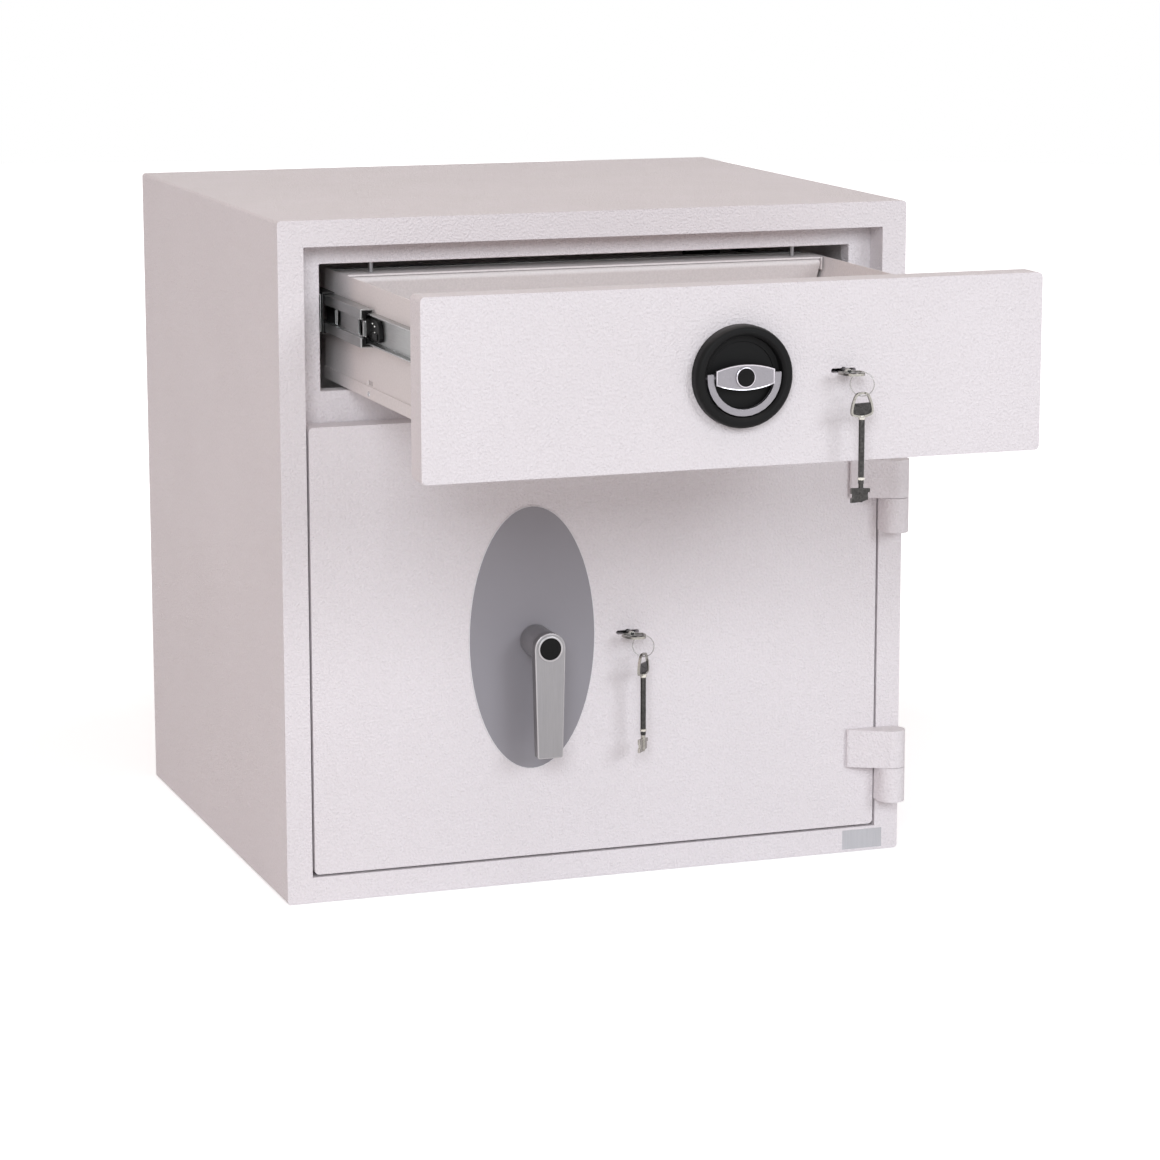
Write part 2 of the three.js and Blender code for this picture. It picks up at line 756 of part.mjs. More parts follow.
function drawerTray() {
  const inner = drawerHalf + seatGap;
  const outer = inner + drawerSheet;
  const tray = block(-outer, outer, behindPanel, drawerEnd, trayBottom, trayBottom + trayFlange);
  const inside = block(
    -inner, inner, behindPanel - overrun, drawerEnd + overrun, trayTop, trayBottom + trayFlange + overrun);
  const y0 = drawerBoltFront - leverPinGap;
  const y1 = drawerBoltFront + drawerBoltThickness + leverPinGap;
  const half = lockBoltWidth / 2 + leverPinGap;
  const [z0, z1] = [trayBottom - overrun, trayTop + overrun];
  const lockSlot = block(drawerKeyX - half, drawerKeyX + half, y0, y1, z0, z1);
  const latchSlot = block(-latchHalf - leverPinGap, latchHalf + leverPinGap, y0, y1, z0, z1);
  return tray.subtract(inside).subtract(lockSlot).subtract(latchSlot);
}

function rearTie() {
  const half = drawerHalf - drawerSheet - seatGap;
  const top = sideTop - tieDrop;
  return block(-half, half, drawerEnd - tieDepth, drawerEnd, top - tieHeight, top);
}

// Cover behind the drawer front, open to the front and below
function drawerCase(x0, x1, top, length) {
  const back = behindPanel + length;
  const cover = block(x0, x1, behindPanel, back, casesBottom, top);
  const front = behindPanel - overrun;
  const bottom = casesBottom - overrun;
  return cover.subtract(
    block(x0 + caseWall, x1 - caseWall, front, back - caseWall, bottom, top - caseWall));
}

function drawerLockBolt() {
  const half = lockBoltWidth / 2;
  const back = drawerBoltFront + drawerBoltThickness;
  const bottom = trayTop + hingeGap;
  return block(drawerKeyX - half, drawerKeyX + half, drawerBoltFront, back, bottom, pullZ - drawerLockBoltTop);
}

function latchBolt() {
  const back = drawerBoltFront + drawerBoltThickness;
  const bottom = trayTop + hingeGap;
  const neck = block(-latchHalf, latchHalf, drawerBoltFront, back, bottom, pullZ);
  const head = block(
    -latchHeadLeft, latchHeadRight, drawerBoltFront, back, pullZ - latchHeadBottom, pullZ + latchTop);
  const slotHalf = pullPinRadius + pullPinGap;
  const pinPath = latchPinOffset * Math.SQRT2;
  const x0 = latchPinOffset - pullPinRadius - hingeGap;
  const x1 = pinPath + pullPinRadius + hingeGap;
  const z = pullZ + latchPinOffset;
  const slot = block(x0, x1, drawerBoltFront - overrun, back + overrun, z - slotHalf, z + slotHalf);
  return neck.add(head).subtract(slot);
}

// Drawer slides, three rails one inside the other on each side
function channel(sign, back, tip, half, flange, y0) {
  const inside = back + Math.sign(tip - back) * slideSheet;
  const outline = [
    [back, -half], [tip, -half], [tip, flange - half], [inside, flange - half],
    [inside, half - flange], [tip, half - flange], [tip, half], [back, half],
  ];
  return slab(polygon(outline.map(([x, z]) => [sign * x, slideZ + z])), y0, y0 + slideLength);
}

const innerSlideX = drawerHalf + seatGap;
const innerSlideTip = innerSlideX + innerSlideDepth;
const middleWebX = innerSlideTip + 2 * slideGap + seatGap + slideSheet;
const middleSlideX = middleWebX + middleWebInset;
const middleSlideHalf = innerSlideHalf + slideGap + middleSlideFlange;
const outerSlideX = middleSlideX + slideGap + slideSheet;
const outerSlideHalf = middleSlideHalf + slideGap + slideSheet;

function innerSlide(sign) {
  return channel(sign, innerSlideX, innerSlideTip, innerSlideHalf, slideSheet, innerSlideFront);
}

// The middle rail's web is sunk between the two runners that ride in the outer rail
function middleSlide(sign) {
  const back = middleSlideX;
  const tip = back - middleSlideReach;
  const inside = middleWebX - slideSheet;
  const half = middleSlideHalf;
  const lip = half - middleSlideFlange;
  const runner = half - middleRunner;
  const outline = [
    [back, -half], [tip, -half], [tip, -lip], [inside, -lip], [inside, lip], [tip, lip], [tip, half], [back, half],
    [back, runner], [middleWebX, runner], [middleWebX, -runner], [back, -runner],
  ];
  const y0 = middleSlideFront;
  return slab(polygon(outline.map(([x, z]) => [sign * x, slideZ + z])), y0, y0 + slideLength);
}

function outerSlide(sign) {
  return channel(sign, outerSlideX, outerSlideX - outerSlideReach, outerSlideHalf, slideSheet, outerSlideFront);
}

function slideBracket(sign) {
  const x0 = outerSlideX + seatGap;
  const x1 = linerHalf - seatGap;
  const y1 = bracketFront + bracketLength;
  const outline = [
    [x0, -bracketHalf], [x1, -bracketHalf],
    [x1, slideSheet - bracketHalf], [x0 + slideSheet, slideSheet - bracketHalf],
    [x0 + slideSheet, bracketHalf - slideSheet], [x1, bracketHalf - slideSheet],
    [x1, bracketHalf], [x0, bracketHalf],
  ];
  return slab(polygon(outline.map(([x, z]) => [sign * x, slideZ + z])), bracketFront, y1);
}

// Flush pull with its folding bail
function pullBowl() {
  const hole = pullSpindleRadius + pinGap;
  const lip = bowlLip;
  return turned([
    [hole, -bowlFloor], [recessRadius - lip, -bowlFloor], [recessRadius, -bowlFloor - lip],
    [recessRadius, lip - bowlDepth], [recessRadius + lip, -bowlDepth], [bowlRadius - bowlEdge, -bowlDepth],
    [bowlRadius - bowlLean, bowlShoulder - bowlDepth], [bowlRadius, bowlSkirt - bowlDepth],
    [bowlRadius, -seatGap], [hole, -seatGap], [hole, -bowlFloor],
  ], 0, pullZ);
}

function pullRotor() {
  const bulge = 2 * eyeHalfHeight - eyeEndHalf;
  const lens = new THREE.Shape();
  lens.moveTo(-eyeHalfWidth, -eyeEndHalf);
  lens.quadraticCurveTo(0, -bulge, eyeHalfWidth, -eyeEndHalf);
  lens.lineTo(eyeHalfWidth, eyeEndHalf);
  lens.quadraticCurveTo(0, bulge, -eyeHalfWidth, eyeEndHalf);
  lens.closePath();
  const plateBack = eyeThickness - bowlDepth;
  let rotor = slab(lens, -bowlDepth, plateBack);
  rotor = rotor.add(rodY(0, 0, hubRadius, plateBack - overrun, -bowlFloor - seatGap));
  for (const sign of [-1, 1]) {
    const [lugLeft, lugRight] = ordered(sign * (eyeHalfWidth - eyeLugWidth), sign * eyeHalfWidth);
    const [pinLeft, pinRight] = ordered(sign * (eyeHalfWidth - overrun), sign * bailPinEnd);
    rotor = rotor.add(block(lugLeft, lugRight, plateBack - overrun, -bailBack, -eyeLugHalf, eyeLugHalf));
    rotor = rotor.add(rodX(bailPivotY, 0, bailPinRadius, pinLeft, pinRight, 16));
  }
  return rotor;
}

function pullBail() {
  const shape = new THREE.Shape();
  shape.absarc(0, 0, bailOuter, Math.PI, 2 * Math.PI);
  shape.lineTo(bailOuter, bailTop);
  shape.lineTo(bailInner, bailTop);
  shape.absarc(0, 0, bailInner, 2 * Math.PI, Math.PI, true);
  shape.lineTo(-bailInner, bailTop);
  shape.lineTo(-bailOuter, bailTop);
  shape.closePath();
  const bore = rodX(bailPivotY, 0, bailPinRadius + pinGap, -bailOuter - overrun, bailOuter + overrun, 16);
  return slab(shape, -bailFront, -bailBack).subtract(bore);
}

function pullCap() {
  const back = -bowlDepth - seatGap;
  const front = back - pullCapThickness;
  const edge = pullCapRadius - pullCapEdge;
  const rim = [pullCapRadius, front + pullCapEdge];
  return turned([[0, front], [edge, front], rim, [pullCapRadius, back], [0, back]], 0, 0, 32);
}

function pullSpindle() {
  const shaft = rodY(0, 0, pullSpindleRadius, -bowlFloor, pullSpindleEnd + overrun, 24);
  const cam = rodY(0, 0, pullCamRadius, pullSpindleEnd, pullSpindleEnd + pullCamThickness);
  const pinStart = pullSpindleEnd + pullCamThickness;
  const pinEnd = drawerBoltFront + drawerBoltThickness;
  const pin = rodY(latchPinOffset, latchPinOffset, pullPinRadius, pinStart - overrun, pinEnd, 16);
  return shaft.add(cam).add(pin);
}

// Deposit flap, drawn hanging straight down from its axis, and the hood that carries it
function scraperFlap() {
  const half = earOuter - earSheet - hingeGap * 2;
  const roll = rodX(0, 0, flapRollOuter, -half, half);
  const bore = rodX(0, 0, flapRollInner, -half - overrun, half + overrun);
  const sheet = block(-half, half, -flapRollOuter, -flapRollInner, -flapLength, 0);
  const notches = [
    [-latchCaseHalf, latchCaseHalf],
    [drawerKeyX - drawerCaseHalf, drawerKeyX + drawerCaseHalf],
  ].map(([x0, x1]) => block(
    x0 - flapNotchGap, x1 + flapNotchGap, -flapRollOuter - overrun, 0, -flapLength - overrun, -flapNotchTop));
  return sheet.add(roll).subtract(bore).subtract(notches[0]).subtract(notches[1]);
}

function hoodPlate() {
  const bottom = hoodTop - hoodSheet;
  let hood = block(-earOuter, earOuter, hoodFront, hoodBack, bottom, hoodTop);
  for (const sign of [-1, 1]) {
    const [x0, x1] = ordered(sign * (earOuter - earSheet), sign * earOuter);
    hood = hood.add(block(x0, x1, frameFront, earBack, sideTop - earDrop, hoodTop));
    hood = hood.subtract(rodX(flapAxisDepth, flapAxisZ, flapRodRadius + seatGap, x0 - overrun, x1 + overrun));
  }
  return hood;
}

function flapRod() {
  return rodX(flapAxisDepth, flapAxisZ, flapRodRadius, -earOuter - flapRodProud, earOuter + flapRodProud);
}

function hoodRod(sign) {
  return rodZ(sign * hoodRodX, hoodRodDepth, flapRodRadius, hoodTop + seatGap, drawerOpeningTop - seatGap);
}

// Fixed cabinet
const sides = [['left', -1], ['right', 1]];

function cabinetParts() {
  const parts = [
    part('outer_casing', outerCasing(), paint),
    part('back_plate', backPlate(), paint),
    part('barrier_fill', barrierFill(), fillConcrete),
    part('inner_liner', innerLiner(), paint),
    part('inner_frame', innerFrame(), paint),
    part('hood_plate', hoodPlate(), paint),
    part('flap_rod', flapRod(), steel),
  ];
  for (const [place, level] of Object.entries(hingeLevels)) {
    parts.push(part(`hinge_knuckle_${place}`, hingeKnuckle(level), paint));
    parts.push(part(`hinge_pin_${place}`, hingePin(level), steel));
  }
  for (const [side, sign] of sides) {
    parts.push(part(`slide_bracket_${side}`, slideBracket(sign), zinc));
    parts.push(part(`slide_outer_${side}`, outerSlide(sign), zinc));
    parts.push(part(`hood_rod_${side}`, hoodRod(sign), steel));
  }
  return parts;
}

// Door with its handle, boltwork and key
function doorParts() {
  const parts = [
    part('door_panel', doorPanel(), paint),
    part('bolt_pan', boltPan(), paint),
    part('pan_cover', panCover(), paint),
    part('dog_bar', dogBar(), steel),
    part('oval_plate', ovalPlate(), greyPlate),
    part('door_lock_case', doorLockCase(), steel),
    part('door_lock_bolt', doorLockBolt(), steel),
    part('lever_boss', leverBoss(), darkMetal),
    part('lever_spindle', leverSpindle(), steel),
    part('bolt_carrier', boltCarrier(), zinc),
  ];
  for (const [place, level] of Object.entries(hingeLevels)) {
    parts.push(part(`hinge_leaf_${place}`, hingeLeaf(level), paint));
  }
  for (const [place, z] of Object.entries(boltLevels)) {
    parts.push(part(`live_bolt_${place}`, liveBolt(z), satinMetal));
  }
  const arm = part('lever_arm', leverArm(), satinMetal);
  parts.push(group(leverX, 0, leverZ, arm, part('lever_cap', leverCap(), blackPlastic)));
  parts.push(keySet('door', doorKeyX, doorKeyZ, doorSpareTurn));
  return parts;
}

// Everything that slides out with the drawer
function drawerParts() {
  const lockTop = pullZ + drawerCaseTop;
  const lockLeft = drawerKeyX - drawerCaseHalf;
  const lockRight = drawerKeyX + drawerCaseHalf;
  const parts = [
    part('drawer_front', drawerFront(), paint),
    part('drawer_tray', drawerTray(), paint),
    part('rear_tie', rearTie(), zinc),
    part('drawer_lock_case', drawerCase(lockLeft, lockRight, lockTop, drawerCaseDepth), steel),
    part('latch_case', drawerCase(-latchCaseHalf, latchCaseHalf, pullZ + latchCaseTop, latchCaseDepth), steel),
    part('drawer_lock_bolt', drawerLockBolt(), steel),
    part('latch_bolt', latchBolt(), steel),
    part('pull_bowl', pullBowl(), blackPlastic),
    keySet('drawer', drawerKeyX, pullZ, drawerSpareTurn),
  ];
  for (const [side, sign] of sides) {
    parts.push(part(`drawer_side_${side}`, drawerSide(sign), paint));
    parts.push(part(`slide_inner_${side}`, innerSlide(sign), zinc));
  }
  const rotor = part('pull_rotor', pullRotor(), satinMetal);
  const bail = part('pull_bail', pullBail(), satinMetal);
  const cap = part('pull_cap', pullCap(), blackPlastic);
  parts.push(group(0, 0, pullZ, rotor, bail, cap, part('pull_spindle', pullSpindle(), steel)));
  return parts;
}

function flapGroup() {
  const flap = group(0, flapAxisDepth, flapAxisZ, part('scraper_flap', scraperFlap(), paint));
  flap.rotation.x = slope;
  return flap;
}

const middles = sides.map(([side, sign]) => part(`slide_mid_${side}`, middleSlide(sign), zinc));
const safe = group(
  0, -depth / 2, 0,
  ...cabinetParts(),
  ...doorParts(),
  flapGroup(),
  group(0, -drawerTravel, 0, ...drawerParts()),
  group(0, -drawerTravel * slideRatio, 0, ...middles),
);

export default safe;
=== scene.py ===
import json
import math

import bmesh
import bpy
from mathutils import Matrix, Vector

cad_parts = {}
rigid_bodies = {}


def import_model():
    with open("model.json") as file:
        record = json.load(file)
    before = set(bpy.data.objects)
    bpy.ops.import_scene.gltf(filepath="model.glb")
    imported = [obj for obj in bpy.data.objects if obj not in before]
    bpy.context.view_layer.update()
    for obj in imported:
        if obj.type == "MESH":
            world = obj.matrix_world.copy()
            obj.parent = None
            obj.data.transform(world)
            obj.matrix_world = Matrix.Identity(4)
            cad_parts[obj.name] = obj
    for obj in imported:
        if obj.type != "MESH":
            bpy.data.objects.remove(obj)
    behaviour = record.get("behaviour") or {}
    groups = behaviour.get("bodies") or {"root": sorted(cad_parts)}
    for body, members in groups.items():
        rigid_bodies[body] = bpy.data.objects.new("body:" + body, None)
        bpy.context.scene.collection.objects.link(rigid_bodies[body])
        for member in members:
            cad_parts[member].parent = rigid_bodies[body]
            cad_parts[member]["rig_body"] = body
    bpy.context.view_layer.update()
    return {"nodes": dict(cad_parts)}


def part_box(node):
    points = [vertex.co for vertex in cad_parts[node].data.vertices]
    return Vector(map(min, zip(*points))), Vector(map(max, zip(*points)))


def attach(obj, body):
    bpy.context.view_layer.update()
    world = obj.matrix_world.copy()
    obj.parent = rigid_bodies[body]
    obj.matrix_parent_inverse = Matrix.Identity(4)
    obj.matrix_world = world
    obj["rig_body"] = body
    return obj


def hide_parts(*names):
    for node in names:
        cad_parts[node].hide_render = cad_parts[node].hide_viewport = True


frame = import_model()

MM = 0.001
X = Vector((1, 0, 0))
Y = Vector((0, 1, 0))
Z = Vector((0, 0, 1))


# Photographer's camera
CAMERA_PLACE = Vector((-1.3611, -4.0936, 1.1083))
CAMERA_AZIMUTH = math.radians(20.33)
CAMERA_DROP = math.radians(11.28)
CAMERA_ROLL = math.radians(0.12)
CAMERA_SENSOR = 36
CAMERA_LENS = 119.4
CAMERA_SHIFT = (-0.0517, 0.0172)


def add_camera():
    data = bpy.data.cameras.new("photo_camera")
    data.sensor_width = CAMERA_SENSOR
    data.lens = CAMERA_LENS
    data.shift_x, data.shift_y = CAMERA_SHIFT
    camera = bpy.data.objects.new("photo_camera", data)
    bpy.context.scene.collection.objects.link(camera)
    level = math.cos(CAMERA_DROP)
    aim = Vector((
        math.sin(CAMERA_AZIMUTH) * level,
        math.cos(CAMERA_AZIMUTH) * level,
        -math.sin(CAMERA_DROP),
    ))
    camera.rotation_mode = "QUATERNION"
    turn = aim.to_track_quat("-Z", "Y").to_matrix() @ Matrix.Rotation(CAMERA_ROLL, 3, "Z")
    camera.rotation_quaternion = turn.to_quaternion()
    camera.location = CAMERA_PLACE
    bpy.context.scene.camera = camera


# Studio
AMBIENT_COLOUR = (1.0, 0.92, 0.9)
AMBIENT_STRENGTH = 0.36
FLOOR_TONE = 0.86
FLOOR_RADIUS = 9
FLOOR_DROP = 0.0006
GLOW_START, GLOW_END = 0.7, 2.2
NEAR_GLOW, FAR_GLOW = 0.5, 1.0
COOL_LIGHT = (0.905, 0.945, 1.0)
SOFTBOXES = [
    # Name, place, point aimed at, width and height, watts, colour
    ("right_softbox", (4.75, -10.4, 4.9), (0, -0.4, 0.4), (4.0, 4.0), 374, COOL_LIGHT),
    ("left_softbox", (-4.6, -11.0, 5.4), (0, -0.4, 0.4), (5.0, 4.5), 622, COOL_LIGHT),
    ("top_softbox", (-0.4, -0.6, 3.6), (0, -0.2, 0.4), (2.4, 2.4), 22, (1.0, 0.84, 0.78)),
    ("side_softbox", (-3.8, -0.6, 1.5), (0, 0, 0.4), (1.8, 2.2), 9, (1.0, 0.56, 0.46)),
]


def add_softbox(name, place, aim, size, power, colour):
    data = bpy.data.lights.new(name, "AREA")
    data.shape = "RECTANGLE"
    data.size, data.size_y = size
    data.energy = power
    data.color = colour
    lamp = bpy.data.objects.new(name, data)
    lamp.location = place
    lamp.rotation_euler = (Vector(aim) - Vector(place)).to_track_quat("-Z", "Y").to_euler()
    bpy.context.scene.collection.objects.link(lamp)


def seen_directly(nodes, links):
    """1 for rays from the camera, off metal or through glass, and 0 for light on the object."""
    path = nodes.new("ShaderNodeLightPath")
    first = nodes.new("ShaderNodeMath")
    first.operation = "MAXIMUM"
    links.new(path.outputs["Is Camera Ray"], first.inputs[0])
    links.new(path.outputs["Is Glossy Ray"], first.inputs[1])
    both = nodes.new("ShaderNodeMath")
    both.operation = "MAXIMUM"
    links.new(first.outputs[0], both.inputs[0])
    links.new(path.outputs["Is Transmission Ray"], both.inputs[1])
    return both.outputs[0]


def add_world():
    """White backdrop to look at, and a dimmer warm ambient to light the object."""
    world = bpy.data.worlds.new("studio")
    bpy.context.scene.world = world
    world.use_nodes = True
    nodes, links = world.node_tree.nodes, world.node_tree.links
    ambient = nodes["Background"]
    ambient.inputs["Color"].default_value = (*AMBIENT_COLOUR, 1)
    ambient.inputs["Strength"].default_value = AMBIENT_STRENGTH
    backdrop = nodes.new("ShaderNodeBackground")
    backdrop.inputs["Color"].default_value = (1, 1, 1, 1)
    backdrop.inputs["Strength"].default_value = 1.0
    choose = nodes.new("ShaderNodeMixShader")
    links.new(seen_directly(nodes, links), choose.inputs["Fac"])
    links.new(ambient.outputs[0], choose.inputs[1])
    links.new(backdrop.outputs[0], choose.inputs[2])
    links.new(choose.outputs[0], nodes["World Output"].inputs["Surface"])


def glow_by_distance(nodes, links):
    """Grey glow of the floor, which grows to white away from the object."""
    place = nodes.new("ShaderNodeTexCoord").outputs["Object"]
    distance = nodes.new("ShaderNodeVectorMath")
    distance.operation = "LENGTH"
    links.new(place, distance.inputs[0])
    glow = nodes.new("ShaderNodeMapRange")
    glow.inputs["From Min"].default_value = GLOW_START
    glow.inputs["From Max"].default_value = GLOW_END
    glow.inputs["To Min"].default_value = NEAR_GLOW
    glow.inputs["To Max"].default_value = FAR_GLOW
    links.new(distance.outputs["Value"], glow.inputs["Value"])
    return glow.outputs["Result"]


def add_floor():
    made = bpy.data.materials.new("studio_floor")
    made.use_nodes = True
    nodes, links = made.node_tree.nodes, made.node_tree.links
    paper = nodes["Principled BSDF"]
    paper.inputs["Base Color"].default_value = (FLOOR_TONE, FLOOR_TONE, FLOOR_TONE, 1)
    paper.inputs["Roughness"].default_value = 0.9
    paper.inputs["Specular IOR Level"].default_value = 0.1
    links.new(seen_directly(nodes, links), paper.inputs["Emission Strength"])
    links.new(glow_by_distance(nodes, links), paper.inputs["Emission Color"])
    bm = bmesh.new()
    bmesh.ops.create_circle(bm, cap_ends=True, radius=FLOOR_RADIUS, segments=96)
    mesh = bpy.data.meshes.new("studio_floor")
    bm.to_mesh(mesh)
    bm.free()
    mesh.materials.append(made)
    floor = bpy.data.objects.new("studio_floor", mesh)
    floor.location.z = -FLOOR_DROP
    bpy.context.scene.collection.objects.link(floor)


def add_studio():
    bpy.context.scene.view_settings.view_transform = "Standard"
    add_world()
    add_floor()
    for softbox in SOFTBOXES:
        add_softbox(*softbox)


# Shader node groups shared by the finishes
def effect_group(name, sockets):
    tree = bpy.data.node_groups.new(name, "ShaderNodeTree")
    for label, way, kind, value in sockets:
        socket = tree.interface.new_socket(label, in_out=way, socket_type=kind)
        if value is not None:
            socket.default_value = value
    return tree, tree.nodes.new("NodeGroupInput"), tree.nodes.new("NodeGroupOutput")


def noise(tree, vector, scale, detail, roughness=0.5):
    node = tree.nodes.new("ShaderNodeTexNoise")
    node.inputs["Detail"].default_value = detail
    node.inputs["Roughness"].default_value = roughness
    tree.links.new(vector, node.inputs["Vector"])
    if isinstance(scale, (int, float)):
        node.inputs["Scale"].default_value = scale
    else:
        tree.links.new(scale, node.inputs["Scale"])
    return node.outputs["Fac"]


def math_node(tree, operation, a, b, clamp=False):
    node = tree.nodes.new("ShaderNodeMath")
    node.operation = operation
    node.use_clamp = clamp
    for socket, value in zip(node.inputs, (a, b)):
        if isinstance(value, (int, float)):
            socket.default_value = value
        else:
            tree.links.new(value, socket)
    return node.outputs[0]


def stretch(tree, value, low, high):
    """Spreads the values from low to high over 0 to 1."""
    node = tree.nodes.new("ShaderNodeMapRange")
    node.inputs["From Min"].default_value = low
    node.inputs["From Max"].default_value = high
    tree.links.new(value, node.inputs["Value"])
    return node.outputs["Result"]


def orange_peel_group():
    """Pebbled skin of paint or plastic: its height, a slow drift of tone and small specks."""
    tree, given, result = effect_group("orange_peel", [
        ("Vector", "INPUT", "NodeSocketVector", None),
        ("Pebbles per Metre", "INPUT", "NodeSocketFloat", 420.0),
        ("Height", "OUTPUT", "NodeSocketFloat", None),
        ("Drift", "OUTPUT", "NodeSocketFloat", None),
        ("Speck", "OUTPUT", "NodeSocketFloat", None),
    ])
    vector, count = given.outputs["Vector"], given.outputs["Pebbles per Metre"]
    coarse = noise(tree, vector, count, 1.5, 0.45)
    fine = noise(tree, vector, math_node(tree, "MULTIPLY", count, 2.6), 1, 0.4)
    pebbles = math_node(tree, "MULTIPLY", stretch(tree, coarse, 0.3, 0.7), 0.75)
    height = math_node(tree, "ADD", pebbles, math_node(tree, "MULTIPLY", fine, 0.25))
    drift = stretch(tree, noise(tree, vector, 3.5, 3), 0.3, 0.7)
    speck = stretch(tree, noise(tree, vector, 900, 2), 0.66, 0.74)
    for label, source in (("Height", height), ("Drift", drift), ("Speck", speck)):
        tree.links.new(source, result.inputs[label])
    return tree


def edge_wear_and_shine_group():
    """Mask of the rounded edges, broken up by noise. It reads the face corner value "edge"."""
    tree, given, result = effect_group("edge_wear_and_shine", [
        ("Vector", "INPUT", "NodeSocketVector", None),
        ("Patches per Metre", "INPUT", "NodeSocketFloat", 60.0),
        ("Amount", "INPUT", "NodeSocketFloat", 0.5),
        ("Mask", "OUTPUT", "NodeSocketFloat", None),
    ])
    edge = tree.nodes.new("ShaderNodeAttribute")
    edge.attribute_name = "edge"
    patches = noise(tree, given.outputs["Vector"], given.outputs["Patches per Metre"], 4, 0.6)
    worn = math_node(tree, "ADD", math_node(tree, "MULTIPLY", patches, 0.9), given.outputs["Amount"])
    worn = stretch(tree, worn, 0.75, 1.15)
    tree.links.new(math_node(tree, "MULTIPLY", worn, edge.outputs["Fac"], True), result.inputs["Mask"])
    return tree


def brushed_grain_group():
    """Fine lines of brushed or drawn metal. Stretch sets how thin they are along each axis."""
    tree, given, result = effect_group("brushed_grain", [
        ("Vector", "INPUT", "NodeSocketVector", None),
        ("Stretch", "INPUT", "NodeSocketVector", (1.0, 1.0, 1.0)),
        ("Lines", "OUTPUT", "NodeSocketFloat", None),
        ("Cloud", "OUTPUT", "NodeSocketFloat", None),
    ])
    pulled = tree.nodes.new("ShaderNodeVectorMath")
    pulled.operation = "MULTIPLY"
    tree.links.new(given.outputs["Vector"], pulled.inputs[0])
    tree.links.new(given.outputs["Stretch"], pulled.inputs[1])
    lines = noise(tree, pulled.outputs["Vector"], 1.0, 4, 0.65)
    cloud = noise(tree, given.outputs["Vector"], 25, 3)
    tree.links.new(stretch(tree, lines, 0.25, 0.75), result.inputs["Lines"])
    tree.links.new(stretch(tree, cloud, 0.3, 0.7), result.inputs["Cloud"])
    return tree


def settled_dust_group():
    """Thin uneven dust on faces that look upwards."""
    tree, given, result = effect_group("settled_dust", [
        ("Vector", "INPUT", "NodeSocketVector", None),
        ("Amount", "INPUT", "NodeSocketFloat", 0.3),
        ("Mask", "OUTPUT", "NodeSocketFloat", None),
    ])
    surface = tree.nodes.new("ShaderNodeNewGeometry")
    parts = tree.nodes.new("ShaderNodeSeparateXYZ")
    tree.links.new(surface.outputs["Normal"], parts.inputs[0])
    upward = stretch(tree, parts.outputs["Z"], 0.55, 0.95)
    uneven = stretch(tree, noise(tree, given.outputs["Vector"], 14, 5, 0.6), 0.25, 0.75)
    amount = math_node(tree, "MULTIPLY", uneven, given.outputs["Amount"])
    tree.links.new(math_node(tree, "MULTIPLY", upward, amount, True), result.inputs["Mask"])
    return tree


ORANGE_PEEL = orange_peel_group()
EDGE_WEAR_AND_SHINE = edge_wear_and_shine_group()
BRUSHED_GRAIN = brushed_grain_group()
SETTLED_DUST = settled_dust_group()


# Finishes
DUST_ON_PAINT = (0.62, 0.6, 0.57)
DUST_ON_PLASTIC = (0.3, 0.29, 0.28)
GRAIN_DEPTH = 0.02 * MM


class Finish:
    """One material, with short ways to place a group, mix colours and add a bump."""

    def __init__(self, name, metallic=0.0, specular=0.5):
        self.material = bpy.data.materials.new(name)
        self.material.use_nodes = True
        self.tree = self.material.node_tree
        self.shader = self.tree.nodes["Principled BSDF"]
        self.shader.inputs["Metallic"].default_value = metallic
        self.shader.inputs["Specular IOR Level"].default_value = specular
        self.place = self.tree.nodes.new("ShaderNodeTexCoord").outputs["Object"]

    def effect(self, group, **values):
        node = self.tree.nodes.new("ShaderNodeGroup")
        node.node_tree = group
        self.tree.links.new(self.place, node.inputs["Vector"])
        for label, value in values.items():
            node.inputs[label.replace("_", " ")].default_value = value
        return node

    def blend(self, mask, low, high):
        """Colour low where the mask is 0 and high where it is 1. Either may be another blend."""
        node = self.tree.nodes.new("ShaderNodeMix")
        node.data_type = "RGBA"
        self.tree.links.new(mask, node.inputs["Factor"])
        for socket, colour in ((node.inputs["A"], low), (node.inputs["B"], high)):
            if isinstance(colour, tuple):
                socket.default_value = (*colour, 1)
            else:
                self.tree.links.new(colour, socket)
        return node.outputs["Result"]

    def range(self, mask, low, high):
        """Value that goes from low to high as the mask goes from 0 to 1."""
        node = self.tree.nodes.new("ShaderNodeMapRange")
        node.inputs["To Min"].default_value = low
        node.inputs["To Max"].default_value = high
        self.tree.links.new(mask, node.inputs["Value"])
        return node.outputs["Result"]

    def colour(self, source):
        self.tree.links.new(source, self.shader.inputs["Base Color"])

    def roughness(self, source):
        self.tree.links.new(source, self.shader.inputs["Roughness"])

    def bump(self, height, depth):
        node = self.tree.nodes.new("ShaderNodeBump")
        node.inputs["Strength"].default_value = 1.0
        node.inputs["Distance"].default_value = depth
        self.tree.links.new(height, node.inputs["Height"])
        self.tree.links.new(node.outputs["Normal"], self.shader.inputs["Normal"])


def shaded(colour, share):
    return tuple(min(1, c * share) for c in colour)


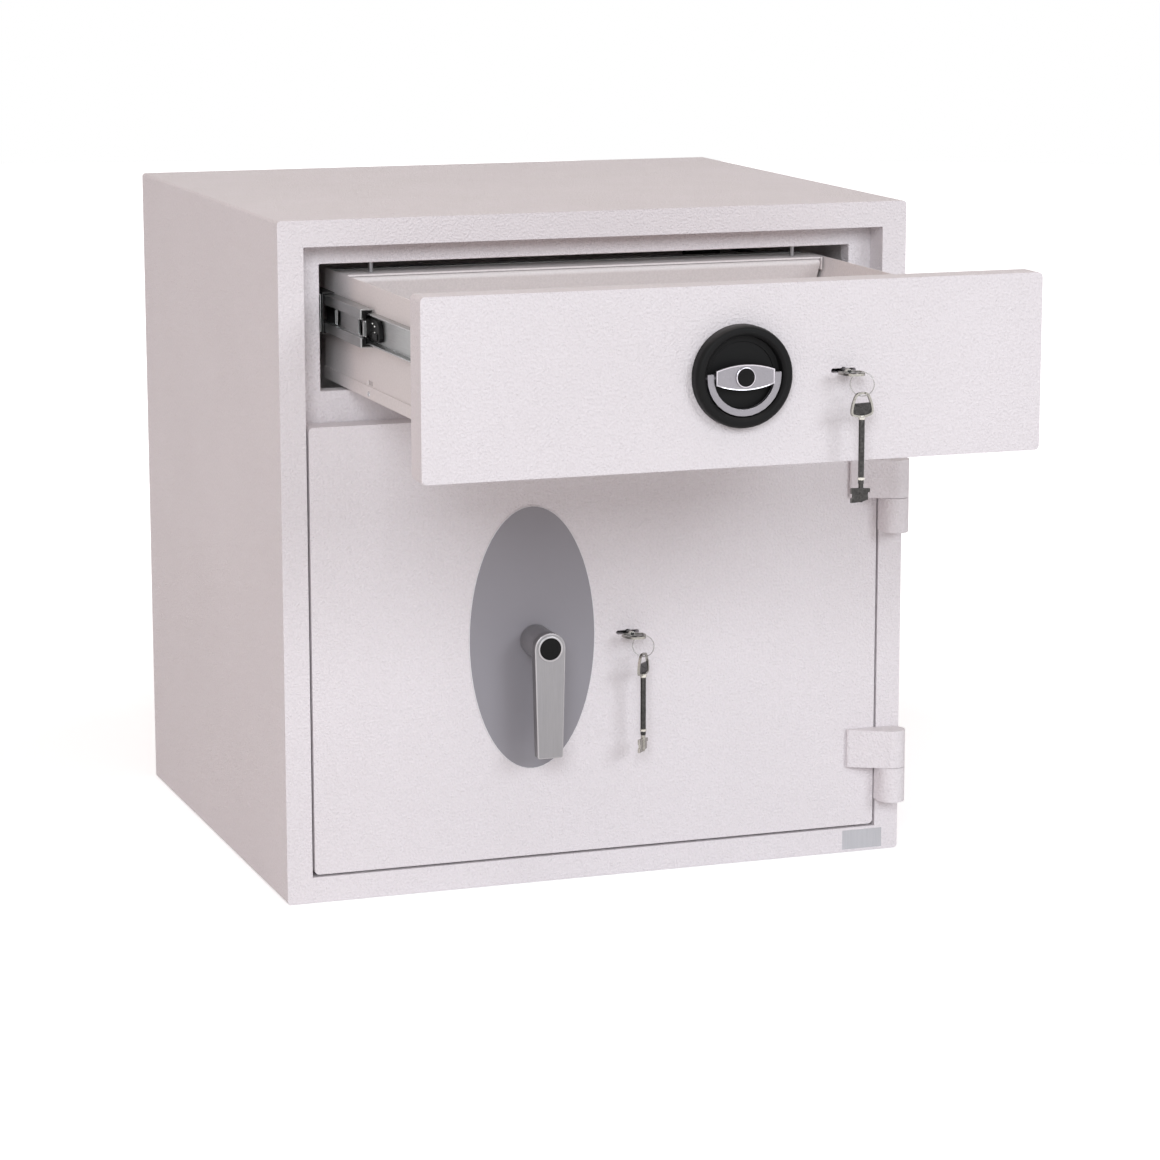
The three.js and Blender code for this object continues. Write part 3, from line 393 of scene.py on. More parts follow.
def powder_coat(name, light, dark, depth):
    """Pebbled paint with painted shade in its hollows, paler at its edges, under thin dust."""
    made = Finish(name, specular=0.4)
    peel = made.effect(ORANGE_PEEL, Pebbles_per_Metre=400.0)
    wear_and_shine = made.effect(EDGE_WEAR_AND_SHINE, Patches_per_Metre=45.0, Amount=0.12)
    dust = made.effect(SETTLED_DUST, Amount=0.25)
    hollow_shade = made.range(peel.outputs["Height"], 0.3, 0.0)
    speck = made.range(peel.outputs["Speck"], 0.0, 0.3)
    worn = made.range(wear_and_shine.outputs["Mask"], 0.0, 0.5)
    tone = made.blend(peel.outputs["Drift"], dark, light)
    # Painted shade: the hollows of the pebbles take a darker copy of the colour.
    tone = made.blend(hollow_shade, tone, shaded(dark, 0.72))
    tone = made.blend(speck, tone, shaded(light, 0.8))
    tone = made.blend(worn, tone, shaded(light, 1.08))
    made.colour(made.blend(dust.outputs["Mask"], tone, DUST_ON_PAINT))
    made.roughness(made.range(peel.outputs["Height"], 0.5, 0.66))
    made.bump(peel.outputs["Height"], depth)
    return made.material


def brushed_metal(name, colour, dark, stretch_by, rough, edge_rough, metallic=1.0, shine=1.45):
    """Metal with fine lines along its least stretched axis, smoother at its edges, with a painted
    highlight there.
    """
    made = Finish(name, metallic=metallic)
    grain = made.effect(BRUSHED_GRAIN, Stretch=stretch_by)
    wear_and_shine = made.effect(EDGE_WEAR_AND_SHINE, Patches_per_Metre=150.0, Amount=0.75)
    tone = made.blend(grain.outputs["Lines"], dark, colour)
    # Painted highlight: the rounded edges take a paler copy of the colour, scaled by shine.
    made.colour(made.blend(wear_and_shine.outputs["Mask"], tone, shaded(colour, shine)))
    surface = made.range(grain.outputs["Cloud"], rough * 0.85, rough * 1.15)
    mixed = made.tree.nodes.new("ShaderNodeMix")
    mixed.data_type = "FLOAT"
    made.tree.links.new(wear_and_shine.outputs["Mask"], mixed.inputs["Factor"])
    made.tree.links.new(surface, mixed.inputs["A"])
    mixed.inputs["B"].default_value = edge_rough
    made.roughness(mixed.outputs["Result"])
    made.bump(grain.outputs["Lines"], GRAIN_DEPTH)
    return made.material


def moulded_plastic(name, colour, pale, rough, depth, specular=0.45, rim=None):
    """Finely pebbled plastic with a painted highlight on its edges, a little paler or in a rim colour."""
    edge_amount, edge_share = (1.0, 0.9) if rim else (0.3, 0.55)
    made = Finish(name, specular=specular)
    peel = made.effect(ORANGE_PEEL, Pebbles_per_Metre=1500.0)
    wear_and_shine = made.effect(EDGE_WEAR_AND_SHINE, Patches_per_Metre=90.0, Amount=edge_amount)
    dust = made.effect(SETTLED_DUST, Amount=0.22)
    tone = made.blend(made.range(peel.outputs["Drift"], 0.0, 0.4), colour, pale)
    # Painted highlight: the rounded edges take the pale colour, or the rim colour where one is given.
    tone = made.blend(made.range(wear_and_shine.outputs["Mask"], 0.0, edge_share), tone, rim or pale)
    made.colour(made.blend(dust.outputs["Mask"], tone, DUST_ON_PLASTIC))
    made.roughness(made.range(peel.outputs["Height"], rough, rough + 0.14))
    made.bump(peel.outputs["Height"], depth)
    return made.material


def cast_filling():
    made = Finish("cast_filling", specular=0.2)
    peel = made.effect(ORANGE_PEEL, Pebbles_per_Metre=140.0)
    tone = made.blend(peel.outputs["Drift"], (0.36, 0.34, 0.3), (0.5, 0.48, 0.43))
    made.colour(made.blend(made.range(peel.outputs["Speck"], 0.0, 0.8), tone, (0.2, 0.19, 0.17)))
    made.roughness(made.range(peel.outputs["Height"], 0.85, 0.98))
    made.bump(peel.outputs["Height"], 0.6 * MM)
    return made.material


PAINT = powder_coat("cabinet_powder_coat", (0.84, 0.798, 0.816), (0.8, 0.758, 0.774), 0.85 * MM)
INNER_PAINT = powder_coat("inner_powder_coat", (0.85, 0.808, 0.8), (0.81, 0.77, 0.762), 0.2 * MM)
# The plate's near-white rim colour is a painted highlight along its rounded edges.
GREY_PLATE = moulded_plastic(
    "oval_plate_grey", (0.272, 0.262, 0.284), (0.31, 0.3, 0.32), 0.42, 0.012 * MM,
    rim=(0.86, 0.85, 0.87))
BOSS_GREY = brushed_metal(
    "boss_grey", (0.28, 0.276, 0.29), (0.235, 0.232, 0.245), (60, 500, 60), 0.45, 0.35, metallic=0.5)
LEVER_METAL = brushed_metal(
    "lever_satin", (0.29, 0.282, 0.288), (0.262, 0.254, 0.26), (900, 900, 40), 0.46, 0.3)
PULL_METAL = brushed_metal(
    "pull_satin", (0.285, 0.272, 0.29), (0.235, 0.225, 0.24), (900, 900, 900), 0.5, 0.22, shine=1.9)
ZINC = brushed_metal(
    "slide_zinc", (0.46, 0.47, 0.465), (0.36, 0.37, 0.37), (700, 25, 700), 0.34, 0.22)
# Near-black zinc of the cabinet rails is painted shade, for these rails sit in shadow inside the opening.
SHADED_RAIL_ZINC = brushed_metal(
    "rail_zinc_painted_shade", (0.07, 0.071, 0.07), (0.045, 0.046, 0.045), (700, 25, 700), 0.45, 0.4)
STEEL = brushed_metal(
    "plain_steel", (0.44, 0.44, 0.45), (0.3, 0.3, 0.31), (350, 350, 350), 0.36, 0.25)
WIRE = brushed_metal(
    "ring_wire", (0.42, 0.412, 0.395), (0.25, 0.245, 0.235), (300, 300, 300), 0.24, 0.2)
NICKEL = brushed_metal(
    "key_nickel", (0.42, 0.405, 0.37), (0.24, 0.23, 0.21), (420, 420, 420), 0.28, 0.18, shine=1.3)
DARK_NICKEL = brushed_metal(
    "key_dark_nickel", (0.085, 0.082, 0.08), (0.02, 0.02, 0.02), (420, 420, 420), 0.2, 0.15)
BLACK = moulded_plastic(
    "black_plastic", (0.006, 0.006, 0.006), (0.016, 0.016, 0.017), 0.42, 0.02 * MM, specular=0.12)
GLOSS_BLACK = moulded_plastic(
    "cap_black", (0.004, 0.004, 0.004), (0.008, 0.008, 0.008), 0.24, 0.004 * MM, specular=0.12)
LABEL_FOIL = brushed_metal(
    "label_foil", (0.5, 0.5, 0.52), (0.42, 0.42, 0.44), (300, 300, 20), 0.4, 0.35, metallic=0.6)
FILLING = cast_filling()


# Mesh tools
WELD_DISTANCE = 0.002 * MM
SEAM_DISTANCE = 0.001 * MM
FLAT_ANGLE = math.radians(1)
ROUNDED_ANGLE = math.radians(38)


def finish_piece(bm, name, body, material, replaces=(), sharp=40):
    """Turns a bmesh into a piece that rides on a body and stands for the CAD nodes named."""
    mesh = bpy.data.meshes.new(name)
    bm.to_mesh(mesh)
    bm.free()
    mesh.materials.append(material)
    for polygon in mesh.polygons:
        polygon.use_smooth = True
    mesh.set_sharp_from_angle(angle=math.radians(sharp))
    piece = bpy.data.objects.new(name, mesh)
    bpy.context.scene.collection.objects.link(piece)
    weighted = piece.modifiers.new("weighted_normals", "WEIGHTED_NORMAL")
    weighted.keep_sharp = True
    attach(piece, body)
    if replaces:
        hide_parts(*replaces)


def body_of(node):
    return frame["nodes"][node]["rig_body"]


def centre_of(node):
    low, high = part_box(node)
    return (low + high) / 2


def in_mm(points):
    return [tuple(value * MM for value in point) for point in points]


def merged_copy(node):
    bm = bmesh.new()
    bm.from_mesh(frame["nodes"][node].data)
    bmesh.ops.remove_doubles(bm, verts=bm.verts, dist=WELD_DISTANCE)
    bmesh.ops.dissolve_limit(bm, angle_limit=FLAT_ANGLE, verts=bm.verts, edges=bm.edges)
    return bm


def turn_outwards(bm):
    bmesh.ops.recalc_face_normals(bm, faces=bm.faces)


def set_in_place(bm, matrix):
    """Moves a mesh by a matrix that may mirror it, and turns its faces outwards again."""
    bm.transform(matrix)
    turn_outwards(bm)


def join_into(target, source, matrix):
    source.transform(matrix)
    mesh = bpy.data.meshes.new("joined")
    source.to_mesh(mesh)
    source.free()
    target.from_mesh(mesh)
    bpy.data.meshes.remove(mesh)


def edge_layer(bm):
    return bm.loops.layers.float.get("edge") or bm.loops.layers.float.new("edge")


def mark_edges(bm, faces):
    """Marks faces as edge, for the masks of worn edges and painted edge highlights."""
    layer = edge_layer(bm)
    for face in faces:
        for loop in face.loops:
            loop[layer] = 1.0


def bevel(bm, geometry, width, steps, affect="EDGES"):
    return bmesh.ops.bevel(
        bm, geom=geometry, offset=width, offset_type="OFFSET", segments=steps,
        profile=0.5, material=-1, affect=affect, clamp_overlap=True,
    )["faces"]


def round_edges(bm, width, steps):
    """Rounds the sharp edges and marks the new faces as edge."""
    edge_layer(bm)
    edges = [e for e in bm.edges if e.calc_face_angle(0) > ROUNDED_ANGLE]
    mark_edges(bm, bevel(bm, edges, width, steps))


def soften(node, name, width, steps, material, sharp=40):
    """A piece with the CAD node's shape and its edges rounded."""
    bm = merged_copy(node)
    round_edges(bm, width, steps)
    finish_piece(bm, name, body_of(node), material, (node,), sharp)


def turned_piece(profile, centre, axis=Y, steps=96):
    """Spins a closed profile of (radius, distance along axis) about an axis through centre."""
    bm = bmesh.new()
    side = axis.orthogonal().normalized()
    ring = [bm.verts.new(centre + side * radius + axis * along) for radius, along in profile]
    edges = [bm.edges.new(pair) for pair in zip(ring, ring[1:] + ring[:1])]
    bmesh.ops.spin(
        bm, geom=ring + edges, cent=centre, axis=axis, angle=math.tau, steps=steps,
        use_merge=True, use_duplicate=False,
    )
    bmesh.ops.remove_doubles(bm, verts=bm.verts, dist=SEAM_DISTANCE)
    turn_outwards(bm)
    return bm


def box_into(bm, low, high, width):
    """Adds a rounded box between two corners. It stays sharp where width is 0."""
    corners = bmesh.ops.create_cube(bm, size=1)["verts"]
    size = Vector(high) - Vector(low)
    middle = (Vector(low) + Vector(high)) / 2
    place = Matrix.Translation(middle) @ Matrix.Diagonal((*size, 1))
    bmesh.ops.transform(bm, verts=corners, matrix=place)
    if width:
        bevel(bm, list({e for v in corners for e in v.link_edges}), width, 2)


def rod_into(bm, start, end, radius, sides=24):
    """Adds a capped rod from start to end, a quarter narrower at its end."""
    start, end = Vector(start), Vector(end)
    along = end - start
    turn = along.to_track_quat("Z", "Y").to_matrix().to_4x4()
    bmesh.ops.create_cone(
        bm, cap_ends=True, segments=sides, radius1=radius, radius2=radius * 0.75,
        depth=along.length, matrix=Matrix.Translation((start + end) / 2) @ turn,
    )


def push_faces(bm, faces, travel):
    """Makes a solid of flat faces by pushing a copy of them along travel."""
    pushed = bmesh.ops.extrude_face_region(bm, geom=faces, use_keep_orig=True)["geom"]
    moved = [v for v in pushed if isinstance(v, bmesh.types.BMVert)]
    bmesh.ops.translate(bm, verts=moved, vec=Vector(travel))


def push_outline(bm, outline, travel):
    """Adds a solid from an outline of points on a plane."""
    face = bm.faces.new([bm.verts.new(point) for point in outline])
    push_faces(bm, [face], travel)


# Cabinet and panels
PAINTED_SHEET = [
    # Node, piece, edge radius in mm, steps round the edge, paint
    ("outer_casing", "casing", 1.6, 4, PAINT),
    ("back_plate", "back_sheet", 0.7, 2, PAINT),
    ("inner_frame", "rebate_frame", 1.2, 3, PAINT),
    ("inner_liner", "liner", 0.5, 2, INNER_PAINT),
    ("door_panel", "door_slab", 2.2, 4, PAINT),
    ("drawer_front", "drawer_face", 2.2, 4, PAINT),
    ("bolt_pan", "bolt_box", 0.6, 2, PAINT),
    ("pan_cover", "bolt_box_lid", 0.7, 2, PAINT),
    ("hood_plate", "hood", 0.5, 2, INNER_PAINT),
    ("scraper_flap", "sloping_flap", 0.4, 2, INNER_PAINT),
    ("drawer_side_left", "drawer_wall_left", 0.4, 2, INNER_PAINT),
    ("drawer_side_right", "drawer_wall_right", 0.4, 2, INNER_PAINT),
    ("drawer_tray", "drawer_floor", 0.4, 2, INNER_PAINT),
    ("hinge_leaf_upper", "leaf_upper", 1.1, 3, PAINT),
    ("hinge_knuckle_upper", "knuckle_upper", 1.1, 3, PAINT),
    ("hinge_leaf_lower", "leaf_lower", 1.1, 3, PAINT),
    ("hinge_knuckle_lower", "knuckle_lower", 1.1, 3, PAINT),
]
PLAIN_STEEL = [
    # Node and edge radius in mm
    ("hinge_pin_upper", 0.6), ("hinge_pin_lower", 0.6),
    ("hood_rod_left", 0.4), ("hood_rod_right", 0.4), ("flap_rod", 0.4),
    ("dog_bar", 1.2), ("door_lock_case", 0.6), ("lever_spindle", 0.5),
    ("live_bolt_top", 1.2), ("live_bolt_middle", 1.2), ("live_bolt_bottom", 1.2),
    ("door_lock_bolt", 0.6), ("drawer_lock_case", 0.6), ("latch_case", 0.6),
    ("pull_spindle", 0.4), ("latch_bolt", 0.6), ("drawer_lock_bolt", 0.6),
]
PLAIN_ZINC = ["bolt_carrier", "rear_tie", "slide_bracket_left", "slide_bracket_right"]


def add_painted_sheet():
    for node, name, width, steps, paint in PAINTED_SHEET:
        soften(node, name, width * MM, steps, paint)


def add_plain_metal():
    for node, width in PLAIN_STEEL:
        soften(node, f"{node}_steel", width * MM, 2, STEEL)
    for node in PLAIN_ZINC:
        soften(node, f"{node}_zinc", 0.5 * MM, 2, ZINC)


def paint_filling():
    for material_slot in frame["nodes"]["barrier_fill"].material_slots:
        material_slot.material = FILLING


# Drawer slides
RAIL_SHEET = 1.5 * MM
WEB_SINK = 3.7 * MM
RAIL_REACH = 13 * MM
RUNNER_HEIGHT = 10.5 * MM
LIP_HEIGHT = 3.55 * MM
WEB_OVERLAP = 0.2 * MM
# Start and end of each part of the middle rail's web, in mm from its front end
WEB_PARTS = [(-4, 6.5), (18.5, 86), (101, 107), (380, 450)]
# Place in mm from the front end, and how far the strip is bent outwards
BENT_STRIPS = [(-4.4, 2.6), (18.2, 1.2), (86, -2.8), (101.4, 1.6)]
BALL_COUNT = 12
BALL_PITCH = 9 * MM
BALL_RADIUS = 1.1 * MM
FIRST_BALL = 12 * MM
LEVER_OUTLINE = [
    (-36, -7), (-33, -10.6), (-2, -10.6), (26, -6), (26, 6), (-2, 10.6), (-28, 10.6), (-33, 6),
]
LEVER_STUDS = [(-12, 6.4), (-19, 4.2), (-19, -2.2)]
# Distance behind the drawer rail's front end, and radius, in mm
RAIL_SCREWS = [(30, 3.6), (120, 3.6), (290, 3.4), (420, 3.4)]


def add_slides():
    for side, sign in (("left", -1), ("right", 1)):
        soften(f"slide_outer_{side}", f"cabinet_rail_{side}", 0.5 * MM, 2, SHADED_RAIL_ZINC)
        soften(f"slide_inner_{side}", f"drawer_rail_{side}", 0.5 * MM, 2, ZINC)
        add_middle_rail(side, sign)
        add_ball_cage(side, sign)
        add_runner_ends(side, sign)
        add_release_lever(side, sign)
        add_rail_joint(side, sign)
        add_tray_rivet(side, sign)


def rail_frame(side, sign):
    """Frame at the middle rail's front end: x runs into the rail, y to its rear and z up."""
    low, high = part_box(f"slide_mid_{side}")
    origin = Vector((low.x if sign < 0 else high.x, low.y, (low.z + high.z) / 2))
    return Matrix.Translation(origin) @ Matrix.Diagonal((-sign, 1, 1, 1)), high - low


def add_middle_rail(side, sign):
    """Two bent runners joined by a sunk web with slots and a long opening."""
    place, size = rail_frame(side, sign)
    half, length = size.z / 2, size.y
    runner, lip = half - RUNNER_HEIGHT, half - LIP_HEIGHT
    cut = runner - 1.3 * MM
    inner = WEB_SINK + RAIL_SHEET
    outline = [
        (0, half), (RAIL_REACH, half), (RAIL_REACH, lip), (inner, lip),
        (inner, cut), (WEB_SINK, cut), (WEB_SINK, runner), (0, runner),
    ]
    bm = bmesh.new()
    for way in (-1, 1):
        push_outline(bm, [(x, 0, z * way) for x, z in outline], (0, length, 0))
    web_top = cut + WEB_OVERLAP
    for start, end in WEB_PARTS:
        box_into(bm, (WEB_SINK, start * MM, -web_top), (inner, min(end * MM, length), web_top), 0)
    turn_outwards(bm)
    round_edges(bm, 0.4 * MM, 2)
    add_bent_strips(bm, runner)
    set_in_place(bm, place)
    node = f"slide_mid_{side}"
    finish_piece(bm, f"middle_rail_{side}", body_of(node), ZINC, (node,))


def add_bent_strips(bm, runner):
    """Turned-out edges of the web at its slots, which catch the light."""
    top = runner - 2 * MM
    for y, rise in BENT_STRIPS:
        x0, x1 = sorted((WEB_SINK + 0.2 * MM, WEB_SINK - rise * MM))
        box_into(bm, (x0, (y - 0.5) * MM, -top), (x1, (y + 0.7) * MM, top), 0.25 * MM)


def add_ball_cage(side, sign):
    """Two rows of balls, held in a bent strip, between the drawer rail and the middle rail."""
    place, size = rail_frame(side, sign)
    row_height = size.z / 2 - LIP_HEIGHT - 3.4 * MM
    ball_depth, strip_front, strip_back, strip_half = 8.4 * MM, 7.1 * MM, 7.7 * MM, 1.9 * MM
    strip_start, strip_end = FIRST_BALL - 6 * MM, FIRST_BALL + BALL_COUNT * BALL_PITCH
    balls, cage = bmesh.new(), bmesh.new()
    for row in (-1, 1):
        middle = row * row_height
        for k in range(BALL_COUNT):
            spot = place @ Vector((ball_depth, FIRST_BALL + k * BALL_PITCH, middle))
            bmesh.ops.create_icosphere(
                balls, subdivisions=2, radius=BALL_RADIUS, matrix=Matrix.Translation(spot))
        low = (strip_front, strip_start, middle - strip_half)
        box_into(cage, low, (strip_back, strip_end, middle + strip_half), 0.2 * MM)
    set_in_place(cage, place)
    body = f"middle_slide_{side}"
    finish_piece(balls, f"slide_balls_{side}", body, WIRE)
    finish_piece(cage, f"ball_cage_{side}", body, BLACK)


def add_runner_ends(side, sign):
    """Black bumpers let into the ends of the two runners, with a hooked nose towards the web."""
    place, size = rail_frame(side, sign)
    top = size.z / 2 / MM
    outline = [
        (1.3, top - 1.4), (11.8, top - 1.4), (11.8, top - 3.3), (5.4, top - 3.3),
        (5.4, top - 11.6), (2.2, top - 11.6), (2.2, top - 9.2), (1.3, top - 9.2),
    ]
    front, length = -1.1, 5 * MM
    bm = bmesh.new()
    for way in (-1, 1):
        push_outline(bm, in_mm((x, front, z * way) for x, z in outline), (0, length, 0))
    turn_outwards(bm)
    round_edges(bm, 0.3 * MM, 2)
    set_in_place(bm, place)
    finish_piece(bm, f"runner_bumpers_{side}", f"middle_slide_{side}", BLACK)


def add_release_lever(side, sign):
    """Black lever in the drawer rail that frees it from the middle rail, with its three studs."""
    place, _ = rail_frame(side, sign)
    sink, thickness = 9.0, 4.6 * MM
    bm = bmesh.new()
    push_outline(bm, in_mm((sink, y, z) for y, z in LEVER_OUTLINE), (thickness, 0, 0))
    turn_outwards(bm)
    round_edges(bm, 0.8 * MM, 3)
    low, high = in_mm([(7.6, -30, -9), (9.2, -14, -2)])
    box_into(bm, low, high, 0.6 * MM)
    set_in_place(bm, place)
    finish_piece(bm, f"release_lever_{side}", "drawer", BLACK)
    studs = bmesh.new()
    for y, z in LEVER_STUDS:
        start, end = in_mm([(9.1, y, z), (8.2, y, z)])
        rod_into(studs, start, end, 1.3 * MM, 20)
    set_in_place(studs, place)
    finish_piece(studs, f"lever_studs_{side}", "drawer", WIRE)


def add_rail_joint(side, sign):
    """Lapped plate and flat-headed screws on the drawer rail's web."""
    low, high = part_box(f"slide_inner_{side}")
    web = high.x if sign < 0 else low.x
    z = (low.z + high.z) / 2
    face = web + sign * RAIL_SHEET
    joint = low.y + 195 * MM
    plate_rise, plate_sink, plate_half, head_height = 0.7 * MM, 0.1 * MM, 12.6 * MM, 1.0 * MM
    x0, x1 = sorted((face - sign * plate_sink, face + sign * plate_rise))
    bm = bmesh.new()
    box_into(bm, (x0, low.y + 1 * MM, z - plate_half), (x1, joint, z + plate_half), 0.3 * MM)
    for behind, radius in RAIL_SCREWS:
        y = low.y + behind * MM
        start = face + sign * (plate_rise if y < joint else 0)
        rod_into(bm, (start, y, z), (start + sign * head_height, y, z), radius * MM)
    turn_outwards(bm)
    finish_piece(bm, f"rail_plate_{side}", "drawer", ZINC)


def add_tray_rivet(side, sign):
    """Blind rivet below the side's slot: a pale collar with a painted highlight, round a black disc of
    painted shade at its middle.
    """
    low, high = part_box("drawer_tray")
    face = low.x if sign < 0 else high.x
    behind_front, above_floor = 338 * MM, 5.2 * MM
    spot = Vector((face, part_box("drawer_front")[0].y + behind_front, low.z + above_floor))
    profile = [(1.1, -0.3), (2.9, -0.3), (2.8, 0.35), (2.2, 0.8), (1.3, 0.8)]
    collar = turned_piece(in_mm(profile), spot, X * sign, 32)
    # Every face counts as edge, so the whole collar takes the painted highlight.
    mark_edges(collar, collar.faces)
    finish_piece(collar, f"tray_rivet_{side}", "drawer", STEEL)
    # The black disc is painted shade in the rivet's open middle.
    profile = [(0.0, -0.2), (1.25, -0.2), (1.25, 0.3), (0.9, 0.45), (0.0, 0.45)]
    hole_shade = turned_piece(in_mm(profile), spot, X * sign, 24)
    finish_piece(hole_shade, f"rivet_hole_shade_{side}", "drawer", BLACK)


# Lever handle
def add_lever():
    axis = centre_of("lever_cap")
    centre = Vector((axis.x, 0, axis.z))
    add_lever_neck(centre)
    soften("lever_arm", "lever_grip", 1.1 * MM, 3, LEVER_METAL, 30)
    add_lever_cap(centre)
    soften("oval_plate", "handle_plate", 1.1 * MM, 3, GREY_PLATE, 30)


def add_lever_neck(centre):
    """Boss that carries the arm, a little narrower at its front."""
    low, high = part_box("lever_boss")
    front, back = low.y, high.y
    radius = (high.x - low.x) / 2
    neck, chamfer = radius * 0.93, 0.6 * MM
    boss = turned_piece([
        (0.0, front), (neck, front), (neck, front + 3 * MM), (radius - chamfer, front + 6 * MM),
        (radius, back - 3 * MM), (radius, back - chamfer), (radius - chamfer, back), (0.0, back),
    ], centre)
    finish_piece(boss, "lever_neck", "lever", BOSS_GREY, ("lever_boss",), 50)


def add_lever_cap(centre):
    """Black disc in a ring at the head of the arm, the ring bright with a painted highlight."""
    low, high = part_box("lever_cap")
    front, back = low.y, high.y
    outer = (high.x - low.x) / 2
    ring = turned_piece([
        (outer * 0.86, back), (outer, back), (outer, front + 0.2 * MM),
        (outer - 0.4 * MM, front), (outer * 0.88, front), (outer * 0.86, front + 0.3 * MM),
    ], centre)
    # Every face counts as edge, so the whole ring takes the painted highlight.
    mark_edges(ring, ring.faces)
    finish_piece(ring, "lever_cap_ring", "lever", LEVER_METAL)
    disc = turned_piece([
        (0.0, front + 0.1 * MM), (outer * 0.83, front + 0.1 * MM),
        (outer * 0.85, front + 0.3 * MM), (outer * 0.85, back), (0.0, back),
    ], centre)
    finish_piece(disc, "lever_cap_disc", "lever", GLOSS_BLACK, ("lever_cap",), 50)


# Flush pull
BOWL_RECESS = 39.5 * MM
BOWL_HOLE = 6.0 * MM
BOWL_FLOOR = 2.8 * MM


def add_pull():
    middle = centre_of("pull_bowl")
    centre = Vector((middle.x, 0, middle.z))
    add_pull_dish(centre)
    add_pull_rotor(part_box("pull_bowl")[0].y)
    soften("pull_bail", "bail_ring", 0.9 * MM, 3, PULL_METAL, 30)
    add_pull_cap(centre)


def add_pull_dish(centre):
    """Round bowl with a rolled rim and a recess for the fingers."""
    low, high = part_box("pull_bowl")
    front, back = low.y, high.y
    radius, recess, hole = (high.x - low.x) / 2, BOWL_RECESS, BOWL_HOLE
    floor = back - BOWL_FLOOR
    bowl = turned_piece([
        (hole, back), (radius, back), (radius, front + 6 * MM), (radius - 0.7 * MM, front + 2.6 * MM),
        (radius - 2.2 * MM, front + 0.8 * MM), (radius - 4 * MM, front), (recess + 3.4 * MM, front),
        (recess + 2.6 * MM, front + 0.3 * MM), (recess + 0.3 * MM, front + 2.8 * MM),
        (recess, front + 3.6 * MM), (recess, floor - 3 * MM), (recess - 0.8 * MM, floor - 1.2 * MM),
        (recess - 2.4 * MM, floor - 0.9 * MM), (recess - 6 * MM, floor - 0.9 * MM),
        (recess - 6.6 * MM, floor), (hole, floor),
    ], centre, steps=128)
    # Painted highlight: the faces of the rim take the plastic's paler edge colour.
    mark_edges(bowl, [
        f for f in bowl.faces
        if abs(f.normal.y) < 0.9 and f.calc_center_median().y < front + 4 * MM
    ])
    finish_piece(bowl, "pull_dish", "drawer", BLACK, ("pull_bowl",), 50)


def add_pull_rotor(front):
    """Eye-shaped plate with a raised polished rim round a satin field, the rim bright with a painted
    highlight.
    """
    rim_width, field_sink = 1.1 * MM, 0.45 * MM
    bm = merged_copy("pull_rotor")
    field = [
        f for f in bm.faces
        if f.normal.y < -0.99 and abs(f.calc_center_median().y - front) < 0.1 * MM
    ]
    bmesh.ops.inset_region(bm, faces=field, thickness=rim_width, depth=0.0, use_even_offset=True)
    sunk = list({v for f in field for v in f.verts})
    bmesh.ops.translate(bm, verts=sunk, vec=Y * field_sink)
    # Painted highlight: the rim faces take the metal's bright edge colour.
    mark_edges(bm, [
        f for f in bm.faces
        if abs(f.calc_center_median().y - front) < 0.4 * MM and f not in field
    ])
    finish_piece(bm, "pull_eye", "pull", PULL_METAL, ("pull_rotor",), 30)


def add_pull_cap(centre):
    """Black disc in a collar at the middle of the eye, the collar bright with a painted highlight."""
    low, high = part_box("pull_cap")
    front, back = low.y, high.y
    outer = (high.x - low.x) / 2
    disc = turned_piece([
        (0.0, front), (outer * 0.9, front), (outer * 0.95, front + 0.25 * MM),
        (outer * 0.96, back), (0.0, back),
    ], centre)
    finish_piece(disc, "pull_cap_disc", "pull", GLOSS_BLACK, ("pull_cap",), 50)
    collar = turned_piece([
        (outer * 0.94, back), (outer * 1.08, back), (outer * 1.08, back - 0.5 * MM),
        (outer * 1.04, back - 0.8 * MM), (outer * 0.97, back - 0.8 * MM), (outer * 0.94, back - 0.5 * MM),
    ], centre)
    # Every face counts as edge, so the whole collar takes the painted highlight.
    mark_edges(collar, collar.faces)
    finish_piece(collar, "pull_cap_ring", "pull", PULL_METAL)


# Keys on their split rings
KEY_HEAD = 36.5 * MM
BOW_CORNERS = -13 * MM
BOW_EYE = -26 * MM
FRAME_WIDTH, FRAME_THICKNESS = 2.1 * MM, 2.4 * MM
PLATE_INSET, PLATE_THICKNESS = 1.7 * MM, 1.5 * MM
BIT_THICKNESS = 2.2 * MM
RING_WIRE = 0.45 * MM
RING_MARGIN = 1.1 * MM
RING_NORMAL = Vector((0.5, math.sqrt(0.75), 0))
RING_SWEEP = 2 * math.tau - 0.35
# Outlines in mm, with x across the bow and y from the bow to the bits
BOW_OUTLINE = [(4.2, -12), (12.2, -14), (13, -18.6), (11.5, -26), (8.1, -34), (4.4, -36.5)]
BIT_OUTLINE = [
    (-11.6, 56.2), (2, 57), (10.2, 57.9), (10.2, 61.9), (7.9, 61.9), (7.9, 69), (0.2, 70.9),
    (-11.6, 70.9), (-11.6, 66.1), (-9.8, 66.1), (-9.8, 62), (-11.6, 62),
]
# Profiles in mm, each point a radius and a place along the key
COLLARS = [
    [(2.0, -14), (3.1, -14), (3.4, -12.5), (3.4, -10.4), (2.9, -9.8), (2.0, -9.8)],
    [(2.0, 46.2), (3.1, 46.2), (3.5, 46.8), (3.5, 48.6), (3.0, 49.2), (2.0, 49.2)],
]
TIP = [(0.0, 52.6), (2.5, 52.6), (2.5, 68.6), (1.7, 70.9), (0.0, 70.9)]
SHANK = [(0.0, -15), (2.2, -15), (2.2, -11), (2.95, -9.6), (2.95, 52), (2.4, 53.4), (0.0, 53.4)]
